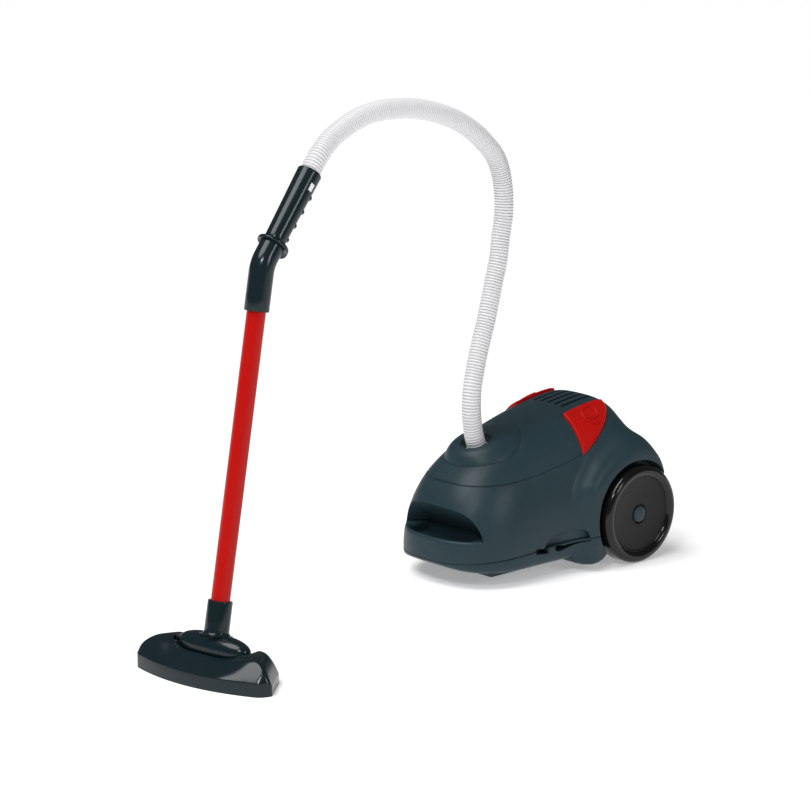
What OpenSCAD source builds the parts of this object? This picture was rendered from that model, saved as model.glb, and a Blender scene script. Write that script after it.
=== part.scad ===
// Toy canister vacuum cleaner: wheeled body, ribbed hose, bent handle, wand and floor nozzle.
// Millimetres, +Z up. The body's nose points along -Y, and the floor is at height zero.
// Body modules are drawn about the floor point below the middle of the rear axle.
// Wand modules are drawn about the floor point below the nozzle's pivot.

/* [Body] */
// Reach of the nose ahead of the rear axle
nose_reach = 222; // [200:1:250]
// Reach of the tail behind the rear axle
tail_reach = 48; // [44:1:56]
// Height of the highest point above the floor
body_h = 168; // [155:1:185]
// Half width at the shoulders
body_half = 82; // [78:1:86]
// Half width over the rear fenders
fender_half = 90; // [88:1:96]
// Radius that blends the fenders into the body
fender_blend = 10; // [6:1:16]
// Height of the seam between shell and base, at the axle
seam_z = 42; // [38:1:46]
// Wall of the moulded pieces
wall = 2.4; // [2:0.1:3]
// Gap between neighbouring cover pieces
cover_gap = 0.4; // [0.3:0.1:0.8]

/* [Grip pocket] */
// Half width of the pocket in the nose
pocket_half = 54; // [46:1:56]
// Height of the pocket's lip above the floor
pocket_lip_z = 51; // [46:1:56]
// Depth of the pocket below its lip
pocket_sink = 12; // [8:1:14]
// Reach of the pocket's back wall ahead of the axle
pocket_reach = 186; // [180:1:192]
// Thickness of the lip
pocket_lip = 4; // [3:0.5:6]
// Corner radius of the pocket
pocket_corner = 14; // [8:1:18]

/* [Top cover] */
// Height of the cover's edge at the nose
cover_edge_z = 104; // [98:1:110]
// Rise of that edge towards the buttons
cover_edge_rise = 18; // [14:1:22]
// Reach of the hose inlet ahead of the axle
inlet_reach = 151; // [146:1:156]
// Height of the inlet's rim above the hood, on its axis
inlet_stand = 5.5; // [3:0.5:9]
// Forward tilt of the inlet's axis
inlet_tilt = 18; // [12:1:22]
// Radius of the inlet's opening
inlet_r = 15.5; // [15:0.5:17]
// Radius of the dome round the inlet
dome_r = 38; // [34:1:42]
// Height of the dome
dome_h = 13; // [11:1:16]
// Number of vent slots
vent_count = 5; // [3:1:6]
// Spacing of the vent slots
vent_pitch = 10; // [8:0.5:10.5]
// Width of a vent slot
vent_w = 4; // [3:0.5:5]
// Length of the vent slots
vent_l = 44; // [30:1:48]

/* [Buttons] */
// Distance of a button's inner edge from the middle
button_in = 34; // [32:1:38]
// Width of a button
button_w = 31; // [28:1:32]
// Length of a button
button_l = 58; // [48:1:62]
// Height of a button above the cover
button_raise = 3.5; // [2:0.5:5]
// Thickness of a button's skin
button_skin = 3; // [2:0.5:4]
// Press travel
button_travel = 2.5; // [1.5:0.5:3]
// Gap round a button
button_gap = 0.6; // [0.5:0.1:1]
// Radius of a button's stem
stem_r = 3; // [2.5:0.1:4]
// Wire diameter of a button's spring
spring_wire = 0.9; // [0.7:0.1:1.1]
// Mean radius of a button's spring
spring_r = 8; // [7.2:0.2:9]
// Turns of a button's spring
spring_turns = 6; // [4:1:8]

/* [Wheels] */
// Radius of a rear wheel
wheel_r = 52; // [50:1:54]
// Width of a rear wheel
wheel_w = 22; // [18:1:24]
// Distance of a wheel's outer face from the middle
wheel_face_x = 97; // [92:0.5:99]
// Radius of the sunk disc in the wheel's face
wheel_disc_r = 40; // [36:1:42]
// Depth of that disc
wheel_disc_sink = 5; // [3:0.5:7]
// Gap between wheel and arch
arch_gap = 5; // [4:0.5:6]
// Radius of the axle
axle_r = 2.5; // [2:0.1:3.5]
// Radius of a hub cap
hub_cap_r = 10; // [8:0.5:12]
// Radius of the caster's wheel
caster_r = 10; // [9:0.5:11]
// Width of the caster's wheel
caster_w = 9; // [7:0.5:11]
// Trail of the caster
caster_trail = 7; // [5:0.5:8]
// Reach of the caster's pivot ahead of the axle
caster_reach = 124; // [118:1:130]
// Radius of the caster's pivot pin
caster_pin_r = 3; // [2.5:0.1:4]
// Running clearance of pins and shafts
run_gap = 0.05; // [0.02:0.01:0.09]

/* [Drive] */
// Diameter of a battery cell
cell_d = 14.5; // [13.5:0.5:15.5]
// Length of a battery cell
cell_l = 50; // [44:1:52]
// Radius of the motor
motor_r = 12; // [10:0.5:14]
// Length of the motor
motor_l = 30; // [24:1:32]
// Radius of the fan
fan_r = 24; // [20:1:25]
// Height of the fan's blades
fan_h = 8; // [6:0.5:10]
// Number of blades
fan_blades = 8; // [6:1:12]

/* [Hose] */
// Outer diameter over the ribs
hose_d = 20.5; // [19:0.5:21]
// Depth of the grooves between ribs
hose_groove = 1.2; // [0.8:0.1:1.6]
// Wall of the hose at its grooves
hose_wall = 1.2; // [0.8:0.1:1.6]
// Number of ribs
hose_ribs = 150; // [100:1:200]

/* [Handle and wand] */
// Outer diameter of the tube
tube_d = 18.4; // [17:0.1:20]
// Wall of the tube
tube_wall = 1.4; // [1:0.1:2]
// Backward lean of the wand
wand_lean = 11.9; // [5:0.1:16]
// Distance of the elbow's bend from the nozzle's pivot
bend_at = 362; // [330:1:390]
// Length of the elbow's lower socket
socket_l = 44; // [36:1:50]
// Outer diameter of the sockets
socket_d = 24; // [23:0.5:26]
// Bend of the handle
handle_bend = 30.5; // [20:0.5:40]
// Bend radius of the elbow
bend_r = 30; // [24:1:40]
// Distance from the bend to the top of the finger flange
flange_at = 24.5; // [22:0.5:30]
// Outer diameter of the finger flange
flange_d = 31; // [29:0.5:34]
// Thickness of the finger flange
flange_t = 3.5; // [2.5:0.5:5]
// Length of the grip
grip_l = 80; // [70:1:95]
// Diameter of the grip at the flange
grip_d = 21; // [20.5:0.5:22.5]
// Diameter of the grip at its mouth
grip_mouth_d = 24.4; // [24:0.2:26]
// Number of finger ridges under the grip
ridge_count = 4; // [2:1:5]
// Spacing of the finger ridges
ridge_pitch = 16; // [12:0.5:16.5]

/* [Nozzle] */
// Place of the nozzle's pivot beside the body's middle
nozzle_side = 85.5; // [60:0.5:140]
// Place of the nozzle's pivot ahead of the axle
nozzle_ahead = 572; // [540:1:620]
// Turn of the nozzle and wand about the vertical
nozzle_turn = 9.5; // [0:0.5:20]
// Half length of the nozzle's front edge
nozzle_half = 82.5; // [78:0.5:92]
// Reach of the front edge's middle ahead of the pivot
nozzle_front = 40; // [36:1:44]
// How far the ends of the front edge lie behind its middle
nozzle_sweep = 17; // [10:1:20]
// Reach of the back edge behind the pivot
nozzle_back = 20; // [20:0.5:26]
// Height of the humps
nozzle_h = 34.5; // [34:0.5:38]
// Height of the front wall
nozzle_wall_h = 13.5; // [11:0.5:15]
// Height of the end walls
nozzle_end_h = 10; // [8:0.5:12]
// Height of the pivot above the floor
pivot_z = 28; // [27:0.5:29]
// Radius of the pivot drum
drum_r = 13.5; // [13:0.5:14]
// Half length of the pivot drum
drum_half = 42; // [38:1:44]
// Gap between drum and recess
drum_gap = 3; // [2:0.5:3.5]
// Length of the neck from the pivot
neck_l = 44.5; // [40:0.5:50]
// Radius of the pivot pin
pivot_pin_r = 2; // [1.6:0.1:2.4]

/* [Hidden] */
$fn = 48;

// Colours
shell_colour = "#2b3d45";
glossy_colour = "#1b2a31";
red_colour = "#c4120c";
black_colour = "#242323";
white_colour = "#f0f0f0";
steel_colour = "#b4b8bc";
brass_colour = "#c9a54c";
orange_colour = "#c96f2a";

// One overrun serves all cuts
over = 1;
// A seat that touches stays this far off its neighbour
seat_gap = 0.02;
// Inner walls end this far short of the seam
seam_play = 0.1;

// The origin lies on the floor below the middle of the whole object's outline, hose left out
nozzle_back_share = 0.75;
nozzle_station_shares = [-0.99, -0.95, -0.9, -0.85, -0.8, -0.75, -0.68, -0.6, -0.48, -0.32, -0.16, 0,
    0.16, 0.32, 0.48, 0.6, 0.68, 0.75, 0.8, 0.85, 0.9, 0.95, 0.99];
function nozzle_front_y(share, inset) = nozzle_sweep * share * share - nozzle_front + inset;
function nozzle_back_y(share, inset) =
    mix(nozzle_back - inset, nozzle_front_y(1, inset),
        clamp01((abs(share) - nozzle_back_share) / (1 - nozzle_back_share)));
nozzle_rim = [for (share = nozzle_station_shares, y = [nozzle_front_y(share, 0), nozzle_back_y(share, 0)])
    [share * nozzle_half, y]];
rim_x = [for (p = nozzle_rim) nozzle_side + p[0] * cos(nozzle_turn) - p[1] * sin(nozzle_turn)];
rim_y = [for (p = nozzle_rim) p[0] * sin(nozzle_turn) + p[1] * cos(nozzle_turn) - nozzle_ahead];
body_at = [-(max(rim_x) - wheel_face_x) / 2, -(min(rim_y) + max(wheel_r, tail_reach)) / 2, 0];
nozzle_at = body_at + [nozzle_side, -nozzle_ahead, 0];
module in_body() {
    translate(body_at) children();
}
module in_nozzle() {
    translate(nozzle_at) rotate([0, 0, nozzle_turn]) children();
}
module in_wand() {
    in_nozzle() translate([0, 0, pivot_z]) rotate([-wand_lean, 0, 0]) children();
}
module in_grip() {
    in_wand() translate([0, 0, bend_at]) rotate([-handle_bend, 0, 0]) children();
}

// Lofted body: shares of the body's length, and of its height above the seam
body_len = nose_reach + tail_reach;
seam_slope_share = 0.067;
top_shares = [[0, 0], [0.01, 0.19], [0.04, 0.39], [0.08, 0.54], [0.15, 0.69], [0.23, 0.79], [0.28, 0.835],
    [0.38, 0.897], [0.49, 0.944], [0.64, 0.987], [0.76, 1.005], [0.82, 0.995], [0.87, 0.935],
    [0.91, 0.83], [0.95, 0.67], [1, 0.42]];
fender_shares = [[0.54, -0.14], [0.6, 0.41], [0.645, 0.58], [0.71, 0.69], [0.78, 0.75], [0.82, 0.755],
    [0.87, 0.74], [0.91, 0.68], [0.96, 0.55], [1, 0.41]];
depth_shares = [[0, 0], [0.01, 0.07], [0.03, 0.15], [0.06, 0.24], [0.12, 0.345], [0.19, 0.42],
    [0.27, 0.476], [0.45, 0.555], [0.64, 0.633], [0.82, 0.714], [0.93, 0.76], [0.98, 0.74], [1, 0.62]];
station_shares = [0.004, 0.015, 0.035, 0.06, 0.09, 0.13, 0.18, 0.23, 0.28, 0.34, 0.41, 0.49, 0.55, 0.59,
    0.63, 0.67, 0.72, 0.77, 0.81, 0.85, 0.88, 0.91, 0.94, 0.97, 1];
// The nose is round up to this share of the length, where it has this share of the width
nose_share = 0.34;
nose_half_share = 0.9;
nose_power = 2.5;
shoulder_share = 0.748;
tail_taper_share = 0.4;
fender_power = 8;
crown_power = 2;
flank_powers = [2.7, 3.2];
flank_shares = [0.27, 0.64];
pan_power = 5;
section_steps = 22;
pan_steps = 14;
bisections = 26;

function mix(a, b, f) = a + (b - a) * f;
function clamp01(f) = min(1, max(0, f));
function span_index(t, rows, i = 0) =
    i < len(rows) - 2 && t > rows[i + 1][0] ? span_index(t, rows, i + 1) : i;
function row_slope(rows, i) =
    let (a = max(0, i - 1), b = min(len(rows) - 1, i + 1))
    (rows[b][1] - rows[a][1]) / (rows[b][0] - rows[a][0]);
function eased(t, rows) =
    let (i = span_index(t, rows), p = rows[i], q = rows[i + 1])
    let (d = q[0] - p[0], f = clamp01((t - p[0]) / d), g = 1 - f)
    p[1] * (1 + 2 * f) * g * g + q[1] * (3 - 2 * f) * f * f
    + d * (row_slope(rows, i) * f * g * g - row_slope(rows, i + 1) * f * f * g);

function seam_at(y) = seam_z + seam_slope_share * y;
function station_y(t) = t * body_len - nose_reach;
function main_half(t) = t < nose_share
    ? nose_half_share * body_half * pow(1 - pow(1 - t / nose_share, nose_power), 1 / nose_power)
    : t < shoulder_share
    ? body_half * mix(nose_half_share, 1, (t - nose_share) / (shoulder_share - nose_share))
    : body_half * (1 - tail_taper_share * pow((t - shoulder_share) / (1 - shoulder_share), 2));
function main_rise(t) = eased(t, top_shares) * (body_h - seam_z);
function fender_rise(t) = t < fender_shares[0][0] ? 0 : eased(t, fender_shares) * (body_h - seam_z);
function flank_power(t) =
    mix(flank_powers[0], flank_powers[1],
        clamp01((t - flank_shares[0]) / (flank_shares[1] - flank_shares[0])));
function solve_radius(a, b, n, lo, hi, k) =
    let (mid = (lo + hi) / 2)
    k == 0 ? mid
    : pow(a * mid, n) + pow(b * mid, crown_power) < 1 ? solve_radius(a, b, n, mid, hi, k - 1)
    : solve_radius(a, b, n, lo, mid, k - 1);
function main_radius(t, c, s) =
    solve_radius(c / main_half(t), s / main_rise(t), flank_power(t), 0, body_len, bisections);
function fender_radius(t, c, s) = fender_rise(t) <= 0 ? 0
    : pow(pow(c / fender_half, fender_power) + pow(s / fender_rise(t), fender_power), -1 / fender_power);
function blended(a, b) =
    let (d = max(fender_blend - abs(a - b), 0) / fender_blend)
    max(a, b) + d * d * fender_blend / 4;
function section_radius(t, angle) =
    let (c = abs(cos(angle)), s = abs(sin(angle)))
    blended(main_radius(t, c, s), fender_radius(t, c, s));
function pan_depth(t) = eased(t, depth_shares) * seam_z;
// Height of the outer surface above a point of the plan
function surface_z(x, y, lo = 0, hi = 90, k = bisections) =
    let (t = (y + nose_reach) / body_len, mid = (lo + hi) / 2)
    k == 0 ? seam_at(y) + section_radius(t, mid) * sin(mid)
    : section_radius(t, mid) * cos(mid) > x ? surface_z(x, y, mid, hi, k - 1)
    : surface_z(x, y, lo, mid, k - 1);

// Skin of a loft through rings of equal length: two end caps and triangles between
function loft_faces(rings, n) = concat(
    [[for (j = [0 : n - 1]) j]],
    [[for (j = [n - 1 : -1 : 0]) (rings - 1) * n + j]],
    [for (i = [0 : rings - 2], j = [0 : n - 1])
        let (a = i * n + j, b = i * n + (j + 1) % n)
        each [[a, a + n, b], [b, a + n, b + n]]]);
module loft(rings) {
    polyhedron([for (ring = rings) each ring], loft_faces(len(rings), len(rings[0])));
}

// The shell's outer form grown by lift; drop carries its flat underside below the seam
module shell_form(lift = 0, drop = 0) {
    loft([for (t = station_shares)
        let (y = mix(-nose_reach - lift, tail_reach + lift, t), z = seam_at(y))
        concat(
            [[section_radius(t, 0) + lift, y, z - drop], [-section_radius(t, 0) - lift, y, z - drop]],
            [for (k = [section_steps - 1 : -1 : 1])
                let (angle = 180 * k / section_steps, r = section_radius(t, angle) + lift)
                [r * cos(angle), y, z + r * sin(angle)]])]);
}

// The base's form grown by lift; climb carries its flat top above the seam
module pan_form(lift = 0, climb = 0) {
    loft([for (t = station_shares)
        let (y = mix(-nose_reach - lift, tail_reach + lift, t), z = seam_at(y))
        let (w = section_radius(t, 0) + lift, d = max(pan_depth(t) + lift, wall / 2))
        concat(
            [[-w, y, z + climb], [w, y, z + climb]],
            [for (k = [1 : pan_steps - 1])
                let (angle = 180 * k / pan_steps, c = cos(angle), s = sin(angle))
                [sign(c) * w * pow(abs(c), 2 / pan_power), y, z - d * pow(s, 2 / pan_power)]])]);
}

// Wheel wells: radius of the arch, and the wall on its inner side
arch_r = wheel_r + arch_gap;
wheel_in_x = wheel_face_x - wheel_w;
hub_reach = 3;
hub_play = 0.4;
well_x = wheel_in_x - hub_reach - hub_play;
module both_sides() {
    children();
    mirror([1, 0, 0]) children();
}
module along_x(x, r, l) {
    translate([x, 0, 0]) rotate([0, 90, 0]) cylinder(r = r, h = l);
}
module arch_cut() {
    translate([0, 0, wheel_r]) along_x(well_x, arch_r, fender_half + over * 4 - well_x);
}
module well_block() {
    translate([0, 0, wheel_r]) along_x(well_x - wall, arch_r + wall, fender_half - well_x + wall);
}

// Axle bosses stand on the base and carry the axle inboard of the wells
boss_wall = 3.5;
boss_r = axle_r + boss_wall;
boss_l = 10;
boss_play = 0.3;
boss_x = well_x - wall - boss_play - boss_l;
pan_floor_z = seam_at(0) - pan_depth(nose_reach / body_len) + wall;
module axle_boss() {
    translate([0, 0, wheel_r]) along_x(boss_x, boss_r, boss_l);
    translate([boss_x, -boss_r, pan_floor_z - wall / 2])
        cube([boss_l, boss_r * 2, wheel_r - pan_floor_z + wall / 2]);
}

// Case screws: posts in the base meet posts in the shell
post_r = 4.6;
screw_r = 1.5;
screw_head_r = 3;
screw_head_h = 2.2;
post_rise = 16;
post_shares = [[0.6, 0.3], [0.66, 0.675]];
post_places = [for (p = post_shares, side = [-1, 1])
    [side * p[0] * main_half(p[1]), station_y(p[1])]];
function post_foot(p) = seam_at(p[1]) - pan_depth((p[1] + nose_reach) / body_len);

// Grip pocket in the nose: an upright scoop, and a sunk trough behind the lip
pocket_lean_share = 0.2;
pocket_top_z = cover_edge_z - wall * 2;
module pocket_front(grow) {
    r = pocket_corner + grow;
    translate([0, -pocket_reach + grow + over, 0]) rotate([90, 0, 0])
        linear_extrude(nose_reach) hull() {
            for (x = [-1, 1]) translate([x * (pocket_half - pocket_corner), pocket_lip_z + pocket_corner])
                circle(r = r, $fn = 32);
            translate([-pocket_half - grow, pocket_top_z]) square([(pocket_half + grow) * 2, wall]);
        }
}
module pocket_side(grow) {
    h = pocket_top_z - pocket_lip_z + pocket_sink;
    lean = h * pocket_lean_share;
    translate([-pocket_half - grow, 0, 0]) rotate([90, 0, 90])
        linear_extrude((pocket_half + grow) * 2)
            polygon([[-pocket_reach + grow, pocket_lip_z - pocket_sink - grow],
                [-pocket_reach + grow - lean, pocket_top_z + grow],
                [-nose_reach - over * 4, pocket_top_z + grow],
                [-nose_reach - over * 4, pocket_lip_z - pocket_sink - grow]]);
}
module pocket_trough() {
    intersection() {
        shell_form(-pocket_lip, pocket_sink);
        pocket_side(0);
        translate([-pocket_half + pocket_corner / 2, -nose_reach, pocket_lip_z - pocket_sink])
            cube([(pocket_half - pocket_corner / 2) * 2, nose_reach - pocket_reach, pocket_sink * 2]);
    }
}
module pocket_cut() {
    intersection() {
        pocket_front(0);
        pocket_side(0);
    }
    pocket_trough();
}
module pocket_block() {
    pocket_side(wall);
}

// Side grooves for a lead on both flanks, just above the seam
groove_shares = [[0.335, 0], [0.345, 0.1], [0.5, 0.16], [0.54, 0.06], [0.5, -0.02], [0.34, -0.08]];
groove_h = 60;
groove_sink = 5;
groove_x = body_half - groove_sink * 2;
module groove_block() {
    y = station_y(groove_shares[0][0]) - wall;
    translate([groove_x - wall, y, seam_z / 2])
        cube([body_half, station_y(groove_shares[3][0]) + wall - y, seam_z / 2 + groove_sink + wall]);
}
module side_groove() {
    translate([groove_x, 0, 0]) rotate([90, 0, 90]) linear_extrude(groove_sink * 4)
        polygon([for (p = groove_shares)
            [station_y(p[0]), seam_at(station_y(p[0])) + p[1] * groove_h]]);
}

// Buttons: a quarter ellipse seen from above, with its square corner inside and in front
button_front = -button_l;
button_steps = 12;
function button_plan(grow) = concat(
    [[button_in - grow, button_front - grow]],
    [for (k = [0 : button_steps])
        let (angle = 90 * k / button_steps)
        [button_in - (k == button_steps ? grow : 0) + (button_w + grow) * cos(angle),
            button_front - (k == 0 ? grow : 0) + (button_l + grow) * sin(angle)]]);
module button_prism(grow, z, h) {
    translate([0, 0, z]) linear_extrude(h) polygon(button_plan(grow));
}
stem_share = 0.4;
stem_x = button_in + button_w * stem_share;
stem_y = button_front + button_l * stem_share;
shelf_t = wall;
shelf_margin = 4;
guide_h = 10;
guide_wall = 2;
seat_margin = 1.6;
seat_r = spring_r + seat_margin;
seat_drop = 8;
seat_z = surface_z(stem_x + seat_r, stem_y) - seat_drop;
spring_len = 30;
shelf_z = seat_z - spring_len - shelf_t;
stem_reach = 5;
stem_end_z = shelf_z - stem_reach;
switch_size = [12, 9, 12];
switch_play = 0.6;
switch_gap = button_travel + switch_play;
switch_tip_h = 2;
switch_top_z = stem_end_z - switch_gap - switch_tip_h;
rib_t = 2.4;
module button_shelf() {
    intersection() {
        shell_form(-wall / 2);
        translate([button_in - shelf_margin, button_front - shelf_margin, shelf_z])
            cube([fender_half, button_l + shelf_margin * 2, shelf_t]);
    }
    translate([stem_x, stem_y, shelf_z]) cylinder(r = stem_r + run_gap + guide_wall, h = shelf_t + guide_h);
    foot_z = switch_top_z - switch_size[2];
    translate([stem_x - switch_size[0] / 2, stem_y + switch_size[1] / 2 + seat_gap, foot_z])
        cube([switch_size[0], rib_t, shelf_z + shelf_t / 2 - foot_z]);
}
module stem_bore() {
    translate([stem_x, stem_y, shelf_z - over])
        cylinder(r = stem_r + run_gap, h = shelf_t + guide_h + over * 2);
}

// Top cover's edge seen from the side, as a curve that climbs to the buttons
cover_back_y = over;
cover_steps = 12;
cover_front_share = 0.865;
cover_run_share = 0.6;
tongue_h = 2;
tongue_play = 0.2;
function cover_edge(y) =
    cover_edge_z
    + cover_edge_rise * pow(max(0, y / nose_reach + cover_front_share) / cover_run_share, 2);
module cover_side(gap, deep) {
    y0 = -nose_reach - over * 4;
    translate([-fender_half - over, 0, 0]) rotate([90, 0, 90]) linear_extrude((fender_half + over) * 2)
        polygon(concat(
            [for (k = [0 : cover_steps])
                let (y = mix(y0, button_front, k / cover_steps))
                [y, cover_edge(y) + gap - deep]],
            [[cover_back_y - gap, cover_edge(button_front) + gap - deep],
                [cover_back_y - gap, body_h * 2], [y0, body_h * 2]]));
}
module cover_region(gap) {
    clear = button_gap - cover_gap + gap;
    difference() {
        cover_side(gap, 0);
        both_sides() translate([button_in - clear, button_front - clear, -over])
            cube([fender_half, body_len, body_h * 2]);
    }
}

// Hose inlet
inlet_z = seam_at(-inlet_reach) + main_rise((nose_reach - inlet_reach) / body_len) + inlet_stand;
module at_inlet() {
    translate([0, -inlet_reach, inlet_z]) rotate([inlet_tilt, 0, 0]) children();
}
dome_steps = 8;
dome_lip = 3;
cuff_sink = 11;
cuff_flange_h = 3;
flange_play = 0.6;
cuff_flange_r = inlet_r - flange_play;
cuff_wall = 1.4;
cuff_r = hose_d / 2 + cuff_wall;
ring_h = 4;
socket_depth = cuff_sink + cuff_flange_h + ring_h;
clip_h = 3;
module dome_skin() {
    rotate_extrude() polygon(concat(
        [[inlet_r, -socket_depth], [inlet_r, 0], [inlet_r + dome_lip, 0]],
        [for (k = [1 : dome_steps])
            let (angle = 90 * k / dome_steps)
            [mix(inlet_r + dome_lip, dome_r, sin(angle)), -dome_h * (1 - cos(angle))]],
        [[dome_r, -dome_h - wall * 3], [dome_r - wall, -dome_h - wall * 3], [inlet_r + wall, -wall],
            [inlet_r + wall, -socket_depth]]));
}
module dome_room() {
    r = dome_r - wall / 2;
    rotate_extrude() polygon([[0, -dome_r], [r, -dome_r], [r, -dome_h - wall],
        [inlet_r + dome_lip, -wall / 2], [0, -wall / 2]]);
}
module dome_ring() {
    difference() {
        translate([0, 0, -socket_depth]) cylinder(r = inlet_r + wall, h = ring_h);
        translate([0, 0, -socket_depth - over]) cylinder(r = cuff_r + run_gap, h = ring_h + over * 2);
    }
}

// The cover's edge carries a tongue that lies behind the shell's edge
module cover_tongue(inset, deep) {
    intersection() {
        difference() {
            shell_form(-inset);
            shell_form(-wall * 2, over);
        }
        difference() {
            cover_side(0, deep);
            cover_side(0, -tongue_h * 2);
            translate([-fender_half, button_front - wall * 2, 0])
                cube([fender_half * 2, nose_reach, body_h * 2]);
        }
    }
}

module upper_shell() {
    color(shell_colour) in_body() difference() {
        union() {
            difference() {
                shell_form();
                shell_form(-wall, over);
                cover_region(0);
                both_sides() button_prism(button_gap, shelf_z + shelf_t + over, body_h);
            }
            intersection() {
                shell_form(-wall / 2, -seam_play);
                union() {
                    both_sides() well_block();
                    both_sides() groove_block();
                    pocket_block();
                    for (p = post_places) {
                        translate([p[0], p[1], seam_at(p[1])]) cylinder(r = post_r, h = post_rise);
                        translate([p[0] > 0 ? p[0] : -fender_half, p[1] - rib_t / 2, seam_at(p[1])])
                            cube([fender_half - abs(p[0]), rib_t, post_rise]);
                    }
                }
            }
            both_sides() button_shelf();
        }
        both_sides() arch_cut();
        both_sides() stem_bore();
        both_sides() side_groove();
        pocket_cut();
        translate([0, 0, wheel_r]) along_x(-fender_half, axle_r + run_gap * 4, fender_half * 2);
        for (p = post_places)
            translate([p[0], p[1], seam_at(p[1]) - over])
                cylinder(r = screw_r, h = post_rise - wall + over);
    }
}

module top_cover() {
    color(shell_colour) in_body() difference() {
        union() {
            intersection() {
                difference() {
                    shell_form();
                    shell_form(-wall, over);
                    at_inlet() dome_room();
                }
                cover_region(cover_gap);
            }
            cover_tongue(wall + tongue_play, tongue_h);
            cover_tongue(wall / 2, -cover_gap);
            at_inlet() dome_skin();
            at_inlet() dome_ring();
        }
        at_inlet() translate([0, 0, -socket_depth + ring_h]) cylinder(r = inlet_r, h = dome_h * 4);
        for (k = [0 : vent_count - 1])
            translate([(k - (vent_count - 1) / 2) * vent_pitch - vent_w / 2, fan_y - vent_l / 2, body_h / 2])
                cube([vent_w, vent_l, body_h]);
    }
}

// Swivelling caster below the body
caster_pin_l = 16;
fork_crown_r = 9;
fork_crown_t = 2.5;
fork_play = 0.4;
fork_arm_t = 2;
caster_axle_r = 1.5;
caster_play = 2;
caster_crown_z = caster_r * 2 + caster_play;
caster_well_r = caster_trail + caster_r + caster_play;
caster_well_z = caster_crown_z + fork_crown_t + fork_play;
caster_boss_r = caster_pin_r + boss_wall;
caster_snap = 0.8;
arm_wall = 2.2;
arm_r = caster_axle_r + arm_wall;
caster_pin_end = caster_well_z + caster_pin_l + fork_play + caster_snap;
module at_caster() {
    translate([0, -caster_reach, 0]) children();
}

// Battery bay in the belly: door below, box above, two cells side by side across the body
battery_reach = 78;
belly_drop = 3;
belly_z = pan_floor_z - wall - belly_drop;
belly_half = 58;
belly_front_reach = 162;
belly_back_reach = 52;
cell_gap = 0.2;
cell_lift = 0.6;
contact_t = 0.8;
bay_play = 0.6;
bay_half_x = cell_l / 2 + contact_t + bay_play;
bay_half_y = cell_d + bay_play;
door_gap = 0.3;
door_end = 9;
door_margin = 4;
door_half_x = bay_half_x + door_end;
door_half_y = bay_half_y + door_margin;
door_screw_x = door_half_x - door_end / 2;
cell_z = pan_floor_z + cell_lift;
bay_top_z = cell_z + cell_d + cell_gap;
box_wall = 2;
floor_seat = 0.2;
module at_battery() {
    translate([0, -battery_reach, 0]) children();
}
module slab(half_x, half_y, z, h) {
    translate([-half_x, -half_y, z]) cube([half_x * 2, half_y * 2, h]);
}

// Skids below the flanks, ahead of the wheels
skid_x = 62;
skid_w = 16;
skid_z = 6;
skid_rise = 10;
skid_shares = [[0.53, 1], [0.575, 0.1], [0.68, 0], [0.72, 1]];
module skid() {
    translate([skid_x, 0, 0]) rotate([90, 0, 90]) linear_extrude(skid_w)
        polygon(concat(
            [for (p = skid_shares) [station_y(p[0]), mix(skid_z, pan_floor_z, p[1])]],
            [[station_y(skid_shares[3][0]), pan_floor_z + skid_rise],
                [station_y(skid_shares[0][0]), pan_floor_z + skid_rise]]));
}

module base_pan() {
    color(shell_colour) in_body() difference() {
        union() {
            difference() {
                pan_form();
                pan_form(-wall, wall);
            }
            intersection() {
                pan_form(-wall / 2, -seam_play);
                union() {
                    both_sides() well_block();
                    for (p = post_places)
                        translate([p[0], p[1], 0]) cylinder(r = post_r, h = seam_z);
                    at_caster() cylinder(r = caster_well_r + wall, h = caster_well_z + wall);
                }
            }
            both_sides() axle_boss();
            at_caster() translate([0, 0, caster_well_z]) cylinder(r = caster_boss_r, h = caster_pin_l);
            translate([-belly_half, -belly_front_reach, belly_z])
                cube([belly_half * 2, belly_front_reach - belly_back_reach, belly_drop + wall / 2]);
            both_sides() skid();
        }
        both_sides() arch_cut();
        translate([0, 0, wheel_r]) along_x(-fender_half, axle_r + run_gap, fender_half * 2);
        for (p = post_places) {
            translate([p[0], p[1], 0]) cylinder(r = screw_r + run_gap, h = seam_z * 2);
            translate([p[0], p[1], 0])
                cylinder(r = screw_head_r + door_gap, h = post_foot(p) + screw_head_h);
        }
        at_caster() cylinder(r = caster_well_r, h = caster_well_z);
        at_caster() cylinder(r = caster_pin_r + run_gap, h = seam_z * 2);
        at_battery() slab(door_half_x + door_gap, door_half_y + door_gap, belly_z - over, wall + over);
        at_battery() slab(bay_half_x, bay_half_y, 0, seam_z);
        at_battery() translate([door_screw_x, 0, 0]) cylinder(r = screw_r, h = seam_z);
    }
}

module button(colour) {
    color(colour) {
        intersection() {
            difference() {
                shell_form(button_raise);
                shell_form(-button_skin, over);
            }
            button_prism(0, shelf_z, body_h);
        }
        intersection() {
            shell_form(-button_skin / 2);
            translate([stem_x, stem_y, seat_z]) cylinder(r = seat_r, h = body_h);
        }
        translate([stem_x, stem_y, stem_end_z]) cylinder(r = stem_r, h = seat_z - stem_end_z + over);
    }
}
module left_button() {
    in_body() button(red_colour);
}
module right_button() {
    in_body() mirror([1, 0, 0]) button(red_colour);
}

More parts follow.
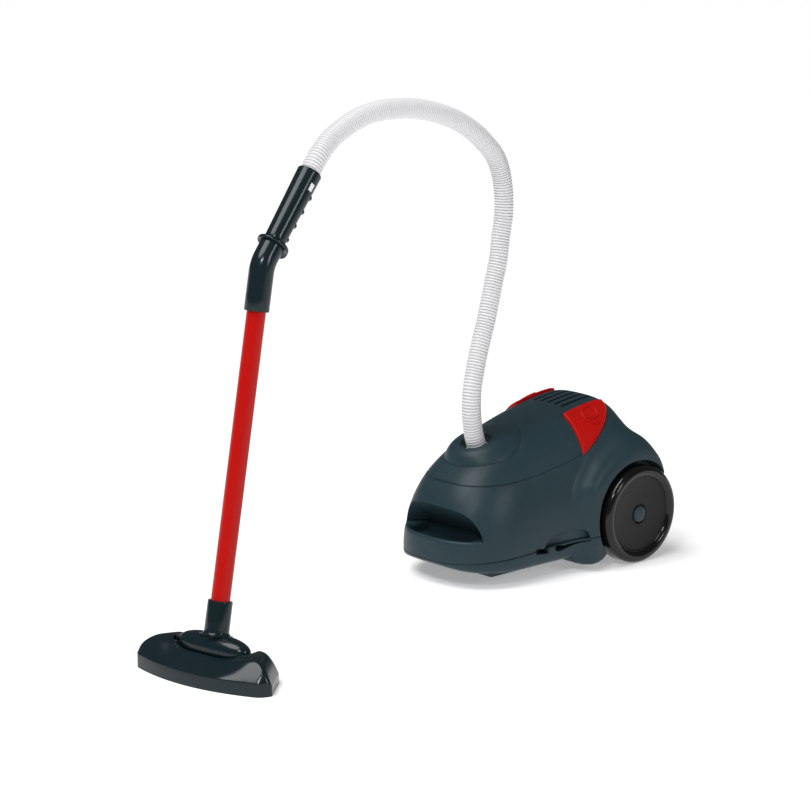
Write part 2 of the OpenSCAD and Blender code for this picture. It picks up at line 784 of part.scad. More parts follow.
// Tubes swept along a path, as one closed skin
function unit(v) = v / norm(v);
function path_tangent(path, i) = unit(path[min(len(path) - 1, i + 1)] - path[max(0, i - 1)]);
function ring_points(centre, tangent, side, r, sides) =
    let (a = unit(side - tangent * (side * tangent)), b = cross(tangent, a))
    [for (k = [0 : sides - 1])
        let (angle = 360 * k / sides)
        centre + r * (cos(angle) * a + sin(angle) * b)];
function tube_faces(rings, sides, closed) = concat(
    closed ? [] : [for (k = [1 : sides - 2]) [0, k, k + 1]],
    closed ? [] : [for (k = [1 : sides - 2]) let (o = (rings - 1) * sides) [o, o + k + 1, o + k]],
    [for (i = [0 : rings - (closed ? 1 : 2)], k = [0 : sides - 1])
        let (p = i * sides, q = (i + 1) % rings * sides, m = (k + 1) % sides)
        each [[p + k, q + k, p + m], [p + m, q + k, q + m]]]);

// Button springs: coils with their ends resting on shelf and button
coil_rings = 8;
coil_sides = 6;
spring_path = [for (k = [0 : spring_turns * coil_rings])
    let (angle = 360 * k / coil_rings, f = k / (spring_turns * coil_rings))
    [spring_r * cos(angle), spring_r * sin(angle),
        mix(spring_wire / 2 + seat_gap, spring_len - spring_wire / 2 - seat_gap, f)]];
spring_self_gap = min([for (i = [0 : len(spring_path) - 1 - coil_rings])
    norm(spring_path[i + coil_rings] - spring_path[i])]) - spring_wire;
echo(spring_self_gap = spring_self_gap);
module button_spring() {
    translate([stem_x, stem_y, shelf_z + shelf_t])
        polyhedron([for (i = [0 : len(spring_path) - 1])
            let (tangent = path_tangent(spring_path, i))
            each ring_points(spring_path[i], tangent, [0, 0, 1], spring_wire / 2, coil_sides)],
            tube_faces(len(spring_path), coil_sides, false));
}
module left_button_spring() {
    color(steel_colour) in_body() button_spring();
}
module right_button_spring() {
    color(steel_colour) in_body() translate([-stem_x * 2, 0, 0]) button_spring();
}

module push_switches() {
    color(black_colour) in_body() both_sides() translate([stem_x, stem_y, 0]) {
        translate([-switch_size[0] / 2, -switch_size[1] / 2, switch_top_z - switch_size[2]])
            cube(switch_size);
        translate([0, 0, switch_top_z - over]) cylinder(r = stem_r, h = switch_tip_h + over);
    }
}

// Rear wheels on a fixed axle, held by hub caps
cap_skin = 0.8;
axle_end_x = wheel_face_x - wheel_disc_sink - cap_skin;
cap_sink = 3;
cap_crown = 0.8;
wheel_web = 4;
hub_r = 9;
rim_t = 8;
rim_round_share = 0.4;
module rear_axle() {
    color(steel_colour) in_body() translate([0, 0, wheel_r]) along_x(-axle_end_x, axle_r, axle_end_x * 2);
}
module wheel() {
    disc_z = wheel_w - wheel_disc_sink;
    bevel = rim_t / 4;
    round = rim_t * rim_round_share;
    shallow = round * (1 - cos(45));
    rotate([0, 90, 0]) rotate_extrude($fn = 96) polygon([
        [axle_r + run_gap, -hub_reach], [hub_r, -hub_reach], [hub_r, disc_z - wheel_web],
        [wheel_r - rim_t, disc_z - wheel_web], [wheel_r - rim_t, 0], [wheel_r - bevel, 0], [wheel_r, bevel],
        [wheel_r, wheel_w - round], [wheel_r - shallow, wheel_w - shallow],
        [wheel_r - round, wheel_w], [wheel_disc_r + round, wheel_w],
        [wheel_disc_r + shallow, wheel_w - shallow], [wheel_disc_r, wheel_w - round],
        [wheel_disc_r, disc_z], [hub_cap_r + hub_play, disc_z], [hub_cap_r + hub_play, disc_z - cap_sink],
        [axle_r + run_gap, disc_z - cap_sink]]);
}
module hub_cap() {
    h = cap_sink - hub_play;
    rotate([0, 90, 0]) rotate_extrude() polygon([
        [axle_r + seat_gap, 0], [hub_cap_r - cap_crown, 0], [hub_cap_r, cap_crown], [hub_cap_r, h],
        [hub_cap_r - cap_crown, h + cap_crown / 2], [0, h + cap_crown],
        [0, axle_end_x + seat_gap - cap_x], [axle_r + seat_gap, axle_end_x + seat_gap - cap_x]]);
}
cap_x = wheel_face_x - wheel_disc_sink - cap_sink + hub_play;
module left_wheel() {
    color(black_colour) in_body() translate([wheel_in_x, 0, wheel_r]) wheel();
}
module right_wheel() {
    color(black_colour) in_body() mirror([1, 0, 0]) translate([wheel_in_x, 0, wheel_r]) wheel();
}
module left_hub_cap() {
    color(shell_colour) in_body() translate([cap_x, 0, wheel_r]) hub_cap();
}
module right_hub_cap() {
    color(shell_colour) in_body() mirror([1, 0, 0]) translate([cap_x, 0, wheel_r]) hub_cap();
}

module caster_fork() {
    arm_x = caster_w / 2 + fork_play;
    color(black_colour) in_body() at_caster() difference() {
        union() {
            translate([0, 0, caster_crown_z]) cylinder(r = fork_crown_r, h = fork_crown_t);
            translate([0, 0, caster_crown_z])
                cylinder(r = caster_pin_r, h = caster_pin_end - caster_crown_z);
            translate([0, 0, caster_pin_end - caster_snap])
                cylinder(r = caster_pin_r + caster_snap, h = caster_snap * 2);
            both_sides() translate([arm_x, 0, 0]) rotate([90, 0, 90]) linear_extrude(fork_arm_t) hull() {
                translate([caster_trail, caster_r]) circle(r = arm_r, $fn = 32);
                translate([-arm_r, caster_crown_z]) square([caster_trail + arm_r, fork_crown_t / 2]);
            }
        }
        translate([-fork_crown_r * 2, caster_trail, caster_r])
            along_x(0, caster_axle_r + seat_gap, fork_crown_r * 4);
    }
}
module caster_axle() {
    half = caster_w / 2 + fork_play + fork_arm_t;
    color(steel_colour) in_body() at_caster() translate([0, caster_trail, caster_r])
        along_x(-half, caster_axle_r, half * 2);
}
module caster_wheel() {
    chamfer = 1;
    color(black_colour) in_body() at_caster() translate([-caster_w / 2, caster_trail, caster_r])
        rotate([0, 90, 0]) rotate_extrude() polygon([
            [caster_axle_r + run_gap, 0], [caster_r - chamfer, 0], [caster_r, chamfer],
            [caster_r, caster_w - chamfer], [caster_r - chamfer, caster_w],
            [caster_axle_r + run_gap, caster_w]]);
}

module battery_box() {
    z = pan_floor_z + floor_seat;
    color(black_colour) in_body() at_battery() difference() {
        slab(bay_half_x + box_wall, bay_half_y + box_wall, z, bay_top_z + box_wall - z);
        slab(bay_half_x, bay_half_y, z - over, bay_top_z - z + over);
    }
}
module battery_cells() {
    nub_r = cell_d / 5;
    nub_h = contact_t;
    color(brass_colour) in_body() at_battery() for (turn = [0, 180])
        rotate([0, 0, turn]) translate([0, (cell_d + cell_gap) / 2, cell_z + cell_d / 2]) {
            along_x(-cell_l / 2, cell_d / 2, cell_l - nub_h);
            along_x(cell_l / 2 - nub_h * 2, nub_r, nub_h * 2);
        }
}
contact_w_share = 0.9;
contact_low_share = 0.2;
module battery_contacts() {
    color(steel_colour) in_body() at_battery() both_sides()
        translate([cell_l / 2 + seat_gap, -cell_d * contact_w_share, cell_z + cell_d * contact_low_share])
            cube([contact_t, cell_d * contact_w_share * 2, cell_d * (1 - contact_low_share * 2)]);
}
module battery_door() {
    color(shell_colour) in_body() at_battery() difference() {
        union() {
            slab(door_half_x, door_half_y, belly_z, wall - seat_gap);
            for (x = [-cell_l / 4, cell_l / 4])
                translate([x - rib_t / 2, -cell_d, belly_z + wall / 2])
                    cube([rib_t, cell_d * 2, cell_z - cell_gap - belly_z - wall / 2]);
        }
        translate([door_screw_x, 0, 0]) cylinder(r = screw_r + run_gap, h = seam_z);
        translate([door_screw_x, 0, 0]) cylinder(r = screw_head_r + door_gap, h = belly_z + wall / 2);
    }
}
module battery_door_screw() {
    color(steel_colour) in_body() at_battery() translate([door_screw_x, 0, belly_z]) {
        cylinder(r = screw_head_r, h = wall / 2 - seat_gap);
        cylinder(r = screw_r - seat_gap, h = wall * 2);
    }
}

// Motor and fan below the vents, on a tower that stands in the base
fan_y = -vent_l / 2 - vent_w / 2;
fan_drop = 34;
fan_z = body_h - fan_drop;
fan_floor_gap = 0.8;
fan_plate_t = 2;
fan_side_gap = 1.5;
motor_top_z = fan_z - fan_floor_gap - fan_plate_t;
motor_seat_z = motor_top_z - motor_l;
motor_shaft_r = 1.5;
motor_shaft_l = 12;
tower_r = motor_r + wall;
cup_h = 12;
fan_hub_r = 6;
module at_fan() {
    translate([0, fan_y, 0]) children();
}
module motor_tower() {
    z = pan_floor_z + floor_seat;
    color(black_colour) in_body() at_fan() difference() {
        translate([0, 0, z]) cylinder(r = tower_r, h = motor_seat_z + cup_h - z);
        translate([0, 0, motor_seat_z]) cylinder(r = motor_r + seat_gap, h = cup_h + over);
        translate([0, 0, z - over]) cylinder(r = motor_r - wall, h = motor_seat_z - z + over * 2);
    }
}
module motor() {
    color(steel_colour) in_body() at_fan() difference() {
        translate([0, 0, motor_seat_z + seat_gap]) cylinder(r = motor_r, h = motor_l - seat_gap * 2);
        translate([0, 0, motor_top_z - motor_shaft_l])
            cylinder(r = motor_shaft_r + run_gap, h = motor_shaft_l);
    }
}
module fan() {
    blade_t = 1.4;
    color(orange_colour) in_body() at_fan() {
        translate([0, 0, fan_z]) cylinder(r = fan_hub_r, h = fan_h);
        translate([0, 0, motor_top_z - motor_shaft_l + floor_seat])
            cylinder(r = motor_shaft_r, h = fan_z - motor_top_z + motor_shaft_l);
        for (k = [0 : fan_blades - 1]) rotate([0, 0, 360 * k / fan_blades])
            translate([fan_hub_r / 2, -blade_t / 2, fan_z]) cube([fan_r - fan_hub_r / 2, blade_t, fan_h]);
    }
}
module fan_housing() {
    r = fan_r + fan_side_gap;
    color(black_colour) in_body() at_fan() difference() {
        translate([0, 0, motor_top_z]) cylinder(r = r + wall, h = fan_h + fan_floor_gap + fan_plate_t * 2);
        translate([0, 0, motor_top_z + fan_plate_t]) cylinder(r = r, h = fan_h * 2);
        translate([0, 0, motor_top_z - over]) cylinder(r = motor_shaft_r * 2, h = fan_plate_t + over * 2);
    }
}
module case_screws() {
    color(steel_colour) in_body() for (p = post_places) translate([p[0], p[1], post_foot(p)]) {
        cylinder(r = screw_head_r, h = screw_head_h - seat_gap);
        cylinder(r = screw_r - seat_gap, h = seam_at(p[1]) - post_foot(p) + post_rise / 2);
    }
}

// Hose between the inlet and the grip's mouth: first and last runs lie on those axes
hose_r = hose_d / 2;
hose_bore_r = hose_r - hose_groove - hose_wall;
hose_lead = 22;
mouth_sink = 4;
function turned_x(p, angle) =
    [p[0], p[1] * cos(angle) - p[2] * sin(angle), p[1] * sin(angle) + p[2] * cos(angle)];
function turned_z(p, angle) =
    [p[0] * cos(angle) - p[1] * sin(angle), p[0] * sin(angle) + p[1] * cos(angle), p[2]];
inlet_axis = turned_x([0, 0, 1], inlet_tilt);
inlet_seat = body_at + [0, -inlet_reach, inlet_z] - inlet_axis * cuff_sink;
wand_axis = turned_z(turned_x([0, 0, 1], -wand_lean), nozzle_turn);
grip_axis = turned_z(turned_x([0, 0, 1], -wand_lean - handle_bend), nozzle_turn);
bend_place = nozzle_at + [0, 0, pivot_z] + wand_axis * bend_at;
mouth_seat = bend_place + grip_axis * (flange_at + grip_l - mouth_sink);
hose_points = [[1.5, -158.5, 174], [1.5, -157.5, 197], [-0.5, -150.5, 219], [-2.5, -142.5, 240],
    [-4.5, -133.5, 260], [-6.5, -125.5, 281], [-8.5, -117.5, 303], [-9.5, -110.5, 324],
    [-11.5, -105.5, 346], [-11.5, -101.5, 368], [-12, -101, 391], [-12, -105, 412.5],
    [-9.5, -115.5, 431.5], [-6, -132, 446.5], [-2.5, -149.5, 459.5], [1.5, -168, 470],
    [6, -187.5, 479], [10.5, -207.5, 486], [15, -228, 492], [19.5, -249.5, 497], [23.5, -271, 500.5],
    [29, -292.5, 502.5], [33.5, -313, 503.5], [38, -334.5, 502.5], [43.5, -356.5, 499],
    [48, -377, 493], [53, -397, 485]];
hose_route = concat([inlet_seat, inlet_seat + inlet_axis * hose_lead], [for (p = hose_points) body_at + p],
    [mouth_seat + grip_axis * hose_lead, mouth_seat]);
hose_spans = len(hose_route) - 1;
function route_slope(i) = (hose_route[min(hose_spans, i + 1)] - hose_route[max(0, i - 1)])
    / (i == 0 || i == hose_spans ? 1 : 2);
function route_point(f) =
    let (x = f * hose_spans, i = min(hose_spans - 1, floor(x)), u = x - i, v = 1 - u)
    hose_route[i] * (1 + 2 * u) * v * v + hose_route[i + 1] * (3 - 2 * u) * u * u
    + route_slope(i) * u * v * v - route_slope(i + 1) * u * u * v;
tangent_share = 0.002;
function route_tangent(f) =
    f <= 0 ? inlet_axis : f >= 1 ? -grip_axis
    : unit(route_point(f + tangent_share) - route_point(f - tangent_share));
hose_side = unit(cross(mouth_seat - inlet_seat, [0, 0, 1]));
hose_sides = 8;
bore_rings = 60;
// A rib is a crest and a groove; the plain end rings sit square on the cuffs
hose_rings = concat(
    [for (k = [0 : hose_ribs * 2])
        [k / (hose_ribs * 2), k % 2 == 0 ? hose_r - hose_groove : hose_r]],
    [for (k = [bore_rings : -1 : 0]) [k / bore_rings, hose_bore_r]]);
module hose() {
    color(white_colour) polyhedron(
        [for (ring = hose_rings)
            each ring_points(route_point(ring[0]), route_tangent(ring[0]), hose_side, ring[1], hose_sides)],
        tube_faces(len(hose_rings), hose_sides, true));
}

module inlet_cuff() {
    color(white_colour) in_body() at_inlet() difference() {
        union() {
            translate([0, 0, -cuff_sink - cuff_flange_h + run_gap * 2])
                cylinder(r = cuff_flange_r, h = cuff_flange_h - run_gap * 2);
            translate([0, 0, -socket_depth - clip_h - run_gap * 4])
                cylinder(r = cuff_r, h = socket_depth + clip_h - cuff_sink - over);
        }
        translate([0, 0, -socket_depth - clip_h * 2]) cylinder(r = hose_bore_r, h = socket_depth * 2);
    }
}
module inlet_clip() {
    z = -socket_depth - clip_h - run_gap * 4;
    color(black_colour) in_body() at_inlet() difference() {
        translate([0, 0, z]) cylinder(r = cuff_flange_r, h = clip_h);
        translate([0, 0, z - over]) cylinder(r = cuff_r + seat_gap, h = clip_h + over * 2);
    }
}

// Grip: tapered tube whose spigot sits in the elbow; the hose's cuff snaps into its mouth
spigot_r = 8;
spigot_l = 14;
grip_bore_r = 6;
mouth_play = 0.3;
mouth_r = hose_r + mouth_play;
mouth_depth = 24;
window_size = [4, 9, 6];
window_at = 12;
window_turn = 50;
ridge_r = 2;
ridge_w = 9;
ridge_first = 9;
grip_end = flange_at + grip_l;
function grip_radius(z) = mix(grip_d, grip_mouth_d, (z - flange_at) / grip_l) / 2;
module grip_window(grow) {
    rotate([0, 0, window_turn]) translate([grip_mouth_d / 2 - window_size[0] + grow,
        -window_size[2] / 2 + grow, grip_end - window_at - window_size[1] + grow])
        cube([window_size[0], window_size[2] - grow * 2, window_size[1] - grow * 2]);
}
module grip() {
    color(glossy_colour) in_grip() difference() {
        union() {
            translate([0, 0, flange_at + seat_gap])
                cylinder(r1 = grip_d / 2, r2 = grip_mouth_d / 2, h = grip_l - seat_gap);
            translate([0, 0, flange_at - spigot_l]) cylinder(r = spigot_r, h = spigot_l + over);
            for (k = [0 : ridge_count - 1])
                let (z = flange_at + ridge_first + k * ridge_pitch)
                translate([-ridge_w / 2, grip_radius(z) - ridge_r / 2, z]) along_x(0, ridge_r, ridge_w);
        }
        translate([0, 0, flange_at - spigot_l - over]) cylinder(r = grip_bore_r, h = grip_l + spigot_l);
        translate([0, 0, grip_end - mouth_depth]) cylinder(r = mouth_r, h = mouth_depth + over);
        grip_window(0);
    }
}
module grip_cuff() {
    color(white_colour) in_grip() difference() {
        union() {
            translate([0, 0, grip_end - mouth_depth + seat_gap])
                cylinder(r = mouth_r - seat_gap, h = mouth_depth - mouth_sink - seat_gap);
            intersection() {
                grip_window(door_gap);
                cylinder(r = grip_mouth_d / 2 - door_gap, h = grip_end * 2);
            }
        }
        translate([0, 0, grip_end - mouth_depth - over])
            cylinder(r = hose_bore_r, h = mouth_depth + over * 2);
    }
}

// Elbow: lower socket for the tube, bend, and finger flange round the grip's spigot
bend_run = bend_r * tan(handle_bend / 2);
tube_stop = 2;
tube_top = bend_at - bend_run - tube_stop;
bend_step = 0.2;
module bend_tube(r) {
    translate([0, bend_r, bend_at - bend_run]) rotate([90, 0, -90])
        rotate_extrude(angle = handle_bend) translate([bend_r, 0]) circle(r = r);
}
module elbow() {
    r = socket_d / 2;
    bore_r = grip_bore_r - bend_step;
    color(glossy_colour) difference() {
        union() {
            in_wand() translate([0, 0, bend_at - socket_l]) cylinder(r = r, h = socket_l - bend_run + over);
            in_wand() bend_tube(r - bend_step);
            in_grip() translate([0, 0, bend_run - over]) cylinder(r = r, h = flange_at - bend_run + over);
            in_grip() translate([0, 0, flange_at - flange_t]) cylinder(r = flange_d / 2, h = flange_t);
        }
        in_wand() translate([0, 0, bend_at - socket_l - over])
            cylinder(r = tube_d / 2 + run_gap, h = tube_top + over + floor_seat - bend_at + socket_l);
        in_wand() bend_tube(grip_bore_r);
        in_wand() translate([0, 0, tube_top])
            cylinder(r = bore_r, h = bend_at - bend_run - tube_top + over);
        in_grip() translate([0, 0, bend_run - over]) cylinder(r = bore_r, h = flange_at);
        in_grip() translate([0, 0, flange_at - spigot_l - over])
            cylinder(r = spigot_r + seat_gap, h = spigot_l + over * 2);
    }
}
neck_seat = 17;
module wand_tube() {
    color(red_colour) in_wand() difference() {
        translate([0, 0, neck_seat + seat_gap]) cylinder(r = tube_d / 2, h = tube_top - neck_seat);
        translate([0, 0, neck_seat - over]) cylinder(r = tube_d / 2 - tube_wall, h = bend_at);
    }
}

// Nozzle: drum on a pin in a recess that is open at the back, hollow below
drum_power = 2.6;
drum_steps = 12;
function drum_radius(f) = pow(1 - pow(abs(f), drum_power), 1 / drum_power);
module drum(grow) {
    rotate([0, 90, 0]) rotate_extrude() polygon(
        [for (k = [-drum_steps : drum_steps])
            let (angle = 90 * k / drum_steps, f = sin(angle))
            [(drum_r + grow) * drum_radius(f), (drum_half + grow) * f]]);
}
module drum_way(grow) {
    rotate([-90, 0, 0]) linear_extrude(nozzle_back * 2) polygon(
        [for (k = [0 : drum_steps * 4 - 1])
            let (angle = 90 * k / drum_steps, f = sin(angle))
            [(drum_half + grow) * f, sign(cos(angle)) * (drum_r + grow) * drum_radius(f)]]);
}
module neck() {
    color(glossy_colour) in_wand() difference() {
        union() {
            drum(0);
            cylinder(r = socket_d / 2, h = neck_l);
        }
        translate([0, 0, neck_seat]) cylinder(r = tube_d / 2 + seat_gap, h = neck_l);
        along_x(-drum_half - over, pivot_pin_r + run_gap, (drum_half + over) * 2);
    }
}
// The top is the lowest of a front slope, a slope to each end and a rounded back
nozzle_crown_share = 0.9;
nozzle_crown_power = 1.25;
nozzle_end_power = 1.6;
nozzle_end_slope = 20;
nozzle_rear_round = 14;
nozzle_slant_share = 1.3;
nozzle_depth_shares = [0.05, 0.13, 0.22, 0.32, 0.43, 0.54, 0.65, 0.76, 0.86, 0.94, 0.985];
end_run = nozzle_half * (1 - nozzle_back_share);
end_depth = nozzle_back - nozzle_front_y(1, 0);
function end_distance(x, y) =
    ((nozzle_half - abs(x)) * end_depth - (y - nozzle_front_y(1, 0)) * end_run) / norm([end_run, end_depth]);
function risen(d, run, low, power) = low + (nozzle_h - low) * (1 - pow(1 - clamp01(d / run), power));
function nozzle_top(x, y) = min(
    risen(y - nozzle_front_y(x / nozzle_half, 0), nozzle_front * nozzle_crown_share, nozzle_wall_h,
        nozzle_crown_power),
    risen(end_distance(x, y), nozzle_end_slope, nozzle_end_h, nozzle_end_power),
    nozzle_h * sqrt(1 - pow(1 - clamp01((nozzle_back - y) / nozzle_rear_round), 2)));
function nozzle_ring(share, inset, drop) =
    let (x = share * (nozzle_half - inset * 2))
    let (front = nozzle_front_y(share, inset), back = nozzle_back_y(share, inset))
    concat(
        [[x, back, -drop]],
        [for (k = [len(nozzle_depth_shares) - 1 : -1 : 0])
            let (y = mix(front, back, nozzle_depth_shares[k]))
            [x, y, nozzle_top(x, y) - inset * nozzle_slant_share]],
        [[x, front, -drop]]);
module nozzle_form(inset, drop) {
    loft([for (share = nozzle_station_shares) nozzle_ring(share, inset, drop)]);
}
module nozzle_recess(grow) {
    translate([0, 0, pivot_z]) {
        drum(grow);
        drum_way(grow);
    }
}
module nozzle_shell() {
    color(glossy_colour) in_nozzle() difference() {
        nozzle_form(0, 0);
        difference() {
            nozzle_form(wall, over);
            nozzle_recess(drum_gap + wall);
        }
        nozzle_recess(drum_gap);
        translate([0, 0, pivot_z]) along_x(-pin_half, pivot_pin_r + seat_gap, pin_half * 2);
    }
}
pin_seat = 3;
pin_half = drum_half + drum_gap + wall + pin_seat;
module nozzle_pin() {
    color(steel_colour) in_nozzle() translate([0, 0, pivot_z])
        along_x(-pin_half + seat_gap, pivot_pin_r, (pin_half - seat_gap) * 2);
}

upper_shell();
base_pan();
top_cover();
left_button();
right_button();
left_button_spring();
right_button_spring();
push_switches();
rear_axle();
left_wheel();
right_wheel();
left_hub_cap();
right_hub_cap();
caster_fork();
caster_axle();
caster_wheel();
battery_box();
battery_cells();
battery_contacts();
battery_door();
battery_door_screw();
motor_tower();
motor();
fan();
fan_housing();
case_screws();
inlet_cuff();
inlet_clip();
hose();
grip_cuff();
grip();
elbow();
wand_tube();
neck();
nozzle_shell();
nozzle_pin();
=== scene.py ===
"""Dresses the packed toy vacuum cleaner: smooth mouldings, ribbed hose, wand, nozzle and plastic finishes."""

import math

import bpy
import numpy as np
from mathutils import Matrix, Vector


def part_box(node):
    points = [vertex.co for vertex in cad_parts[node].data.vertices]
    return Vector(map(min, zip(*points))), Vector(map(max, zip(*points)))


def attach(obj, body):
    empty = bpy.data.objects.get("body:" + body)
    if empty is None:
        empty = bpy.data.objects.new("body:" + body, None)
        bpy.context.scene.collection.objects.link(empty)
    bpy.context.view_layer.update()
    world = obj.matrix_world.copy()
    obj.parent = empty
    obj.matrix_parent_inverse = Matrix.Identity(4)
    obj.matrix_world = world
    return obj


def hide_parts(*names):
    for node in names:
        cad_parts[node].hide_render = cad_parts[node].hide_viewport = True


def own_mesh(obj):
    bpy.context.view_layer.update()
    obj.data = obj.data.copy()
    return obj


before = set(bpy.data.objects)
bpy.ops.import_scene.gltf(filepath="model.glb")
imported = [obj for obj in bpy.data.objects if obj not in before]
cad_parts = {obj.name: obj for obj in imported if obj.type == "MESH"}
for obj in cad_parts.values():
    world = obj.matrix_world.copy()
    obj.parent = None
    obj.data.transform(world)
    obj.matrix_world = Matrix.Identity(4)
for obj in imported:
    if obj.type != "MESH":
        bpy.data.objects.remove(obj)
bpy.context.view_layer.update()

bl_info = {
    "name": "Toy vacuum cleaner",
    "version": (1, 0, 0),
    "blender": (4, 5, 0),
    "location": "3D View > Sidebar > Toy Vacuum",
    "description": "Models the mouldings, hose and finishes of a toy vacuum cleaner round its CAD frame",
    "category": "Object",
}

MM = 0.001


def middle(node):
    low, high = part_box(node)
    return (low + high) / 2


AXLE = middle("rear_axle")
PIVOT = middle("nozzle_pin")
IN_BODY = Matrix.Translation((AXLE.x, AXLE.y, 0))


def metres(name, description, default):
    return bpy.props.FloatProperty(
        name=name, description=description, default=default, min=0, precision=4, unit="LENGTH")


def turn(name, description, degrees):
    return bpy.props.FloatProperty(
        name=name, description=description, default=math.radians(degrees), subtype="ANGLE")


def count(name, description, default):
    return bpy.props.IntProperty(name=name, description=description, default=default, min=1)


def colour(name, description, default):
    return bpy.props.FloatVectorProperty(
        name=name, description=description, default=default, min=0, max=1, size=3, subtype="COLOR")


class BodySizes(bpy.types.PropertyGroup):
    """Sizes of the wheeled body."""

    nose_reach: metres("Nose reach", "Reach of the nose ahead of the rear axle", 0.222)
    tail_reach: metres("Tail reach", "Reach of the tail behind the rear axle", 0.048)
    height: metres("Height", "Height of the highest point above the floor", 0.168)
    half_width: metres("Half width", "Half width at the shoulders", 0.082)
    fender_half: metres("Fender half width", "Half width over the rear fenders", 0.090)
    fender_blend: metres("Fender blend", "Reach of the hollow between fender and flank", 0.018)
    seam_height: metres("Seam height", "Height of the seam above the floor at the axle", 0.042)
    seam_gap: metres("Seam gap", "Width of the seam between shell and base", 0.0005)
    wall: metres("Wall", "Wall of the moulded pieces", 0.0024)
    tail_round: metres("Tail rounding", "Radius of the tail's edge", 0.012)
    pocket_half: metres("Pocket half width", "Half width of the grip pocket", 0.060)
    pocket_lip: metres("Pocket lip height", "Height of the pocket's lip above the floor", 0.051)
    pocket_reach: metres("Pocket reach", "Reach of the pocket's back wall ahead of the axle", 0.186)
    pocket_corner: metres("Pocket corner", "Reach of the rounding at the pocket's ends", 0.026)
    pocket_sink: metres("Pocket sink", "Depth of the pocket below its lip", 0.012)
    cover_edge: metres("Cover edge", "Height of the cover's edge at the nose", 0.104)
    cover_rise: metres("Cover rise", "Rise of that edge towards the buttons", 0.018)
    cover_gap: metres("Cover gap", "Gap round the cover", 0.0004)
    inlet_reach: metres("Inlet reach", "Reach of the hose inlet ahead of the axle", 0.151)
    inlet_height: metres("Inlet height", "Height of the inlet's rim on its axis", 0.140939)
    inlet_tilt: turn("Inlet tilt", "Forward tilt of the inlet's axis", 18)
    inlet_radius: metres("Inlet radius", "Radius of the inlet's opening", 0.0155)
    dome_radius: metres("Dome radius", "Radius of the dome round the inlet", 0.041)
    dome_shift: metres("Dome shift", "Shift of the dome's foot behind the inlet", 0.007)
    vent_count: count("Vents", "Number of vent slots", 5)
    vent_pitch: metres("Vent pitch", "Spacing of the vent slots", 0.010)
    vent_width: metres("Vent width", "Width of a vent slot", 0.004)
    vent_length: metres("Vent length", "Length of the vent slots", 0.044)
    button_in: metres("Button inset", "Distance of a button's inner edge from the middle", 0.034)
    button_width: metres("Button width", "Width of a button", 0.031)
    button_length: metres("Button length", "Length of a button", 0.058)
    button_raise: metres("Button raise", "Height of a button above the cover", 0.0035)
    button_gap: metres("Button gap", "Gap round a button", 0.0006)


class WheelSizes(bpy.types.PropertyGroup):
    """Sizes of the rear wheels."""

    radius: metres("Radius", "Radius of a rear wheel", 0.052)
    width: metres("Width", "Width of a rear wheel", 0.022)
    face: metres("Face", "Distance of a wheel's outer face from the middle", 0.097)
    disc_radius: metres("Disc radius", "Radius of the sunk disc", 0.040)
    disc_sink: metres("Disc sink", "Depth of the sunk disc", 0.005)
    arch_gap: metres("Arch gap", "Gap between wheel and arch", 0.005)
    cap_radius: metres("Cap radius", "Radius of a hub cap", 0.0087)


class HoseSizes(bpy.types.PropertyGroup):
    """Sizes of the ribbed hose."""

    diameter: metres("Diameter", "Outer diameter over the ribs", 0.0205)
    groove: metres("Groove", "Depth of the grooves between ribs", 0.0011)
    ribs: count("Ribs", "Number of ribs", 220)


class WandSizes(bpy.types.PropertyGroup):
    """Sizes of handle, elbow and tube."""

    tube_diameter: metres("Tube diameter", "Outer diameter of the tube", 0.0184)
    tube_wall: metres("Tube wall", "Wall of the tube", 0.0014)
    lean: turn("Lean", "Backward lean of the wand", 11.9)
    bend_at: metres("Bend place", "Distance of the elbow's bend from the nozzle's pivot", 0.362)
    bend: turn("Bend", "Bend of the handle", 30.5)
    bend_radius: metres("Bend radius", "Radius of the elbow's bend", 0.030)
    socket_length: metres("Socket length", "Length of the elbow's lower socket", 0.044)
    socket_diameter: metres("Socket diameter", "Outer diameter of the sockets", 0.024)
    flange_at: metres("Flange place", "Distance from the bend to the top of the flange", 0.0245)
    flange_diameter: metres("Flange diameter", "Outer diameter of the finger flange", 0.031)
    flange_thickness: metres("Flange thickness", "Thickness of the finger flange", 0.0035)
    grip_length: metres("Grip length", "Length of the grip", 0.080)
    grip_diameter: metres("Grip diameter", "Diameter of the grip at the flange", 0.021)
    mouth_diameter: metres("Mouth diameter", "Diameter of the grip at its mouth", 0.0244)
    ridges: count("Ridges", "Number of finger ridges", 4)
    ridge_pitch: metres("Ridge pitch", "Spacing of the finger ridges", 0.016)


class NozzleSizes(bpy.types.PropertyGroup):
    """Sizes of the floor nozzle."""

    heading: turn("Heading", "Turn of nozzle and wand about the vertical", 9.5)
    half_length: metres("Half length", "Half length of the nozzle", 0.0825)
    front: metres("Front", "Reach of the front edge ahead of the pivot", 0.040)
    sweep: metres("Sweep", "Curve of the front edge towards its ends", 0.017)
    back: metres("Back", "Reach of the back edge behind the pivot", 0.020)
    height: metres("Height", "Height of the humps", 0.0345)
    wall_height: metres("Wall height", "Height of the front wall", 0.0135)
    end_height: metres("End height", "Height of the end walls", 0.010)
    drum_radius: metres("Drum radius", "Radius of the pivot drum", 0.0135)
    drum_half: metres("Drum half length", "Half length of the pivot drum", 0.042)
    drum_gap: metres("Drum gap", "Gap between drum and recess", 0.003)
    neck_length: metres("Neck length", "Length of the neck from the pivot", 0.0445)


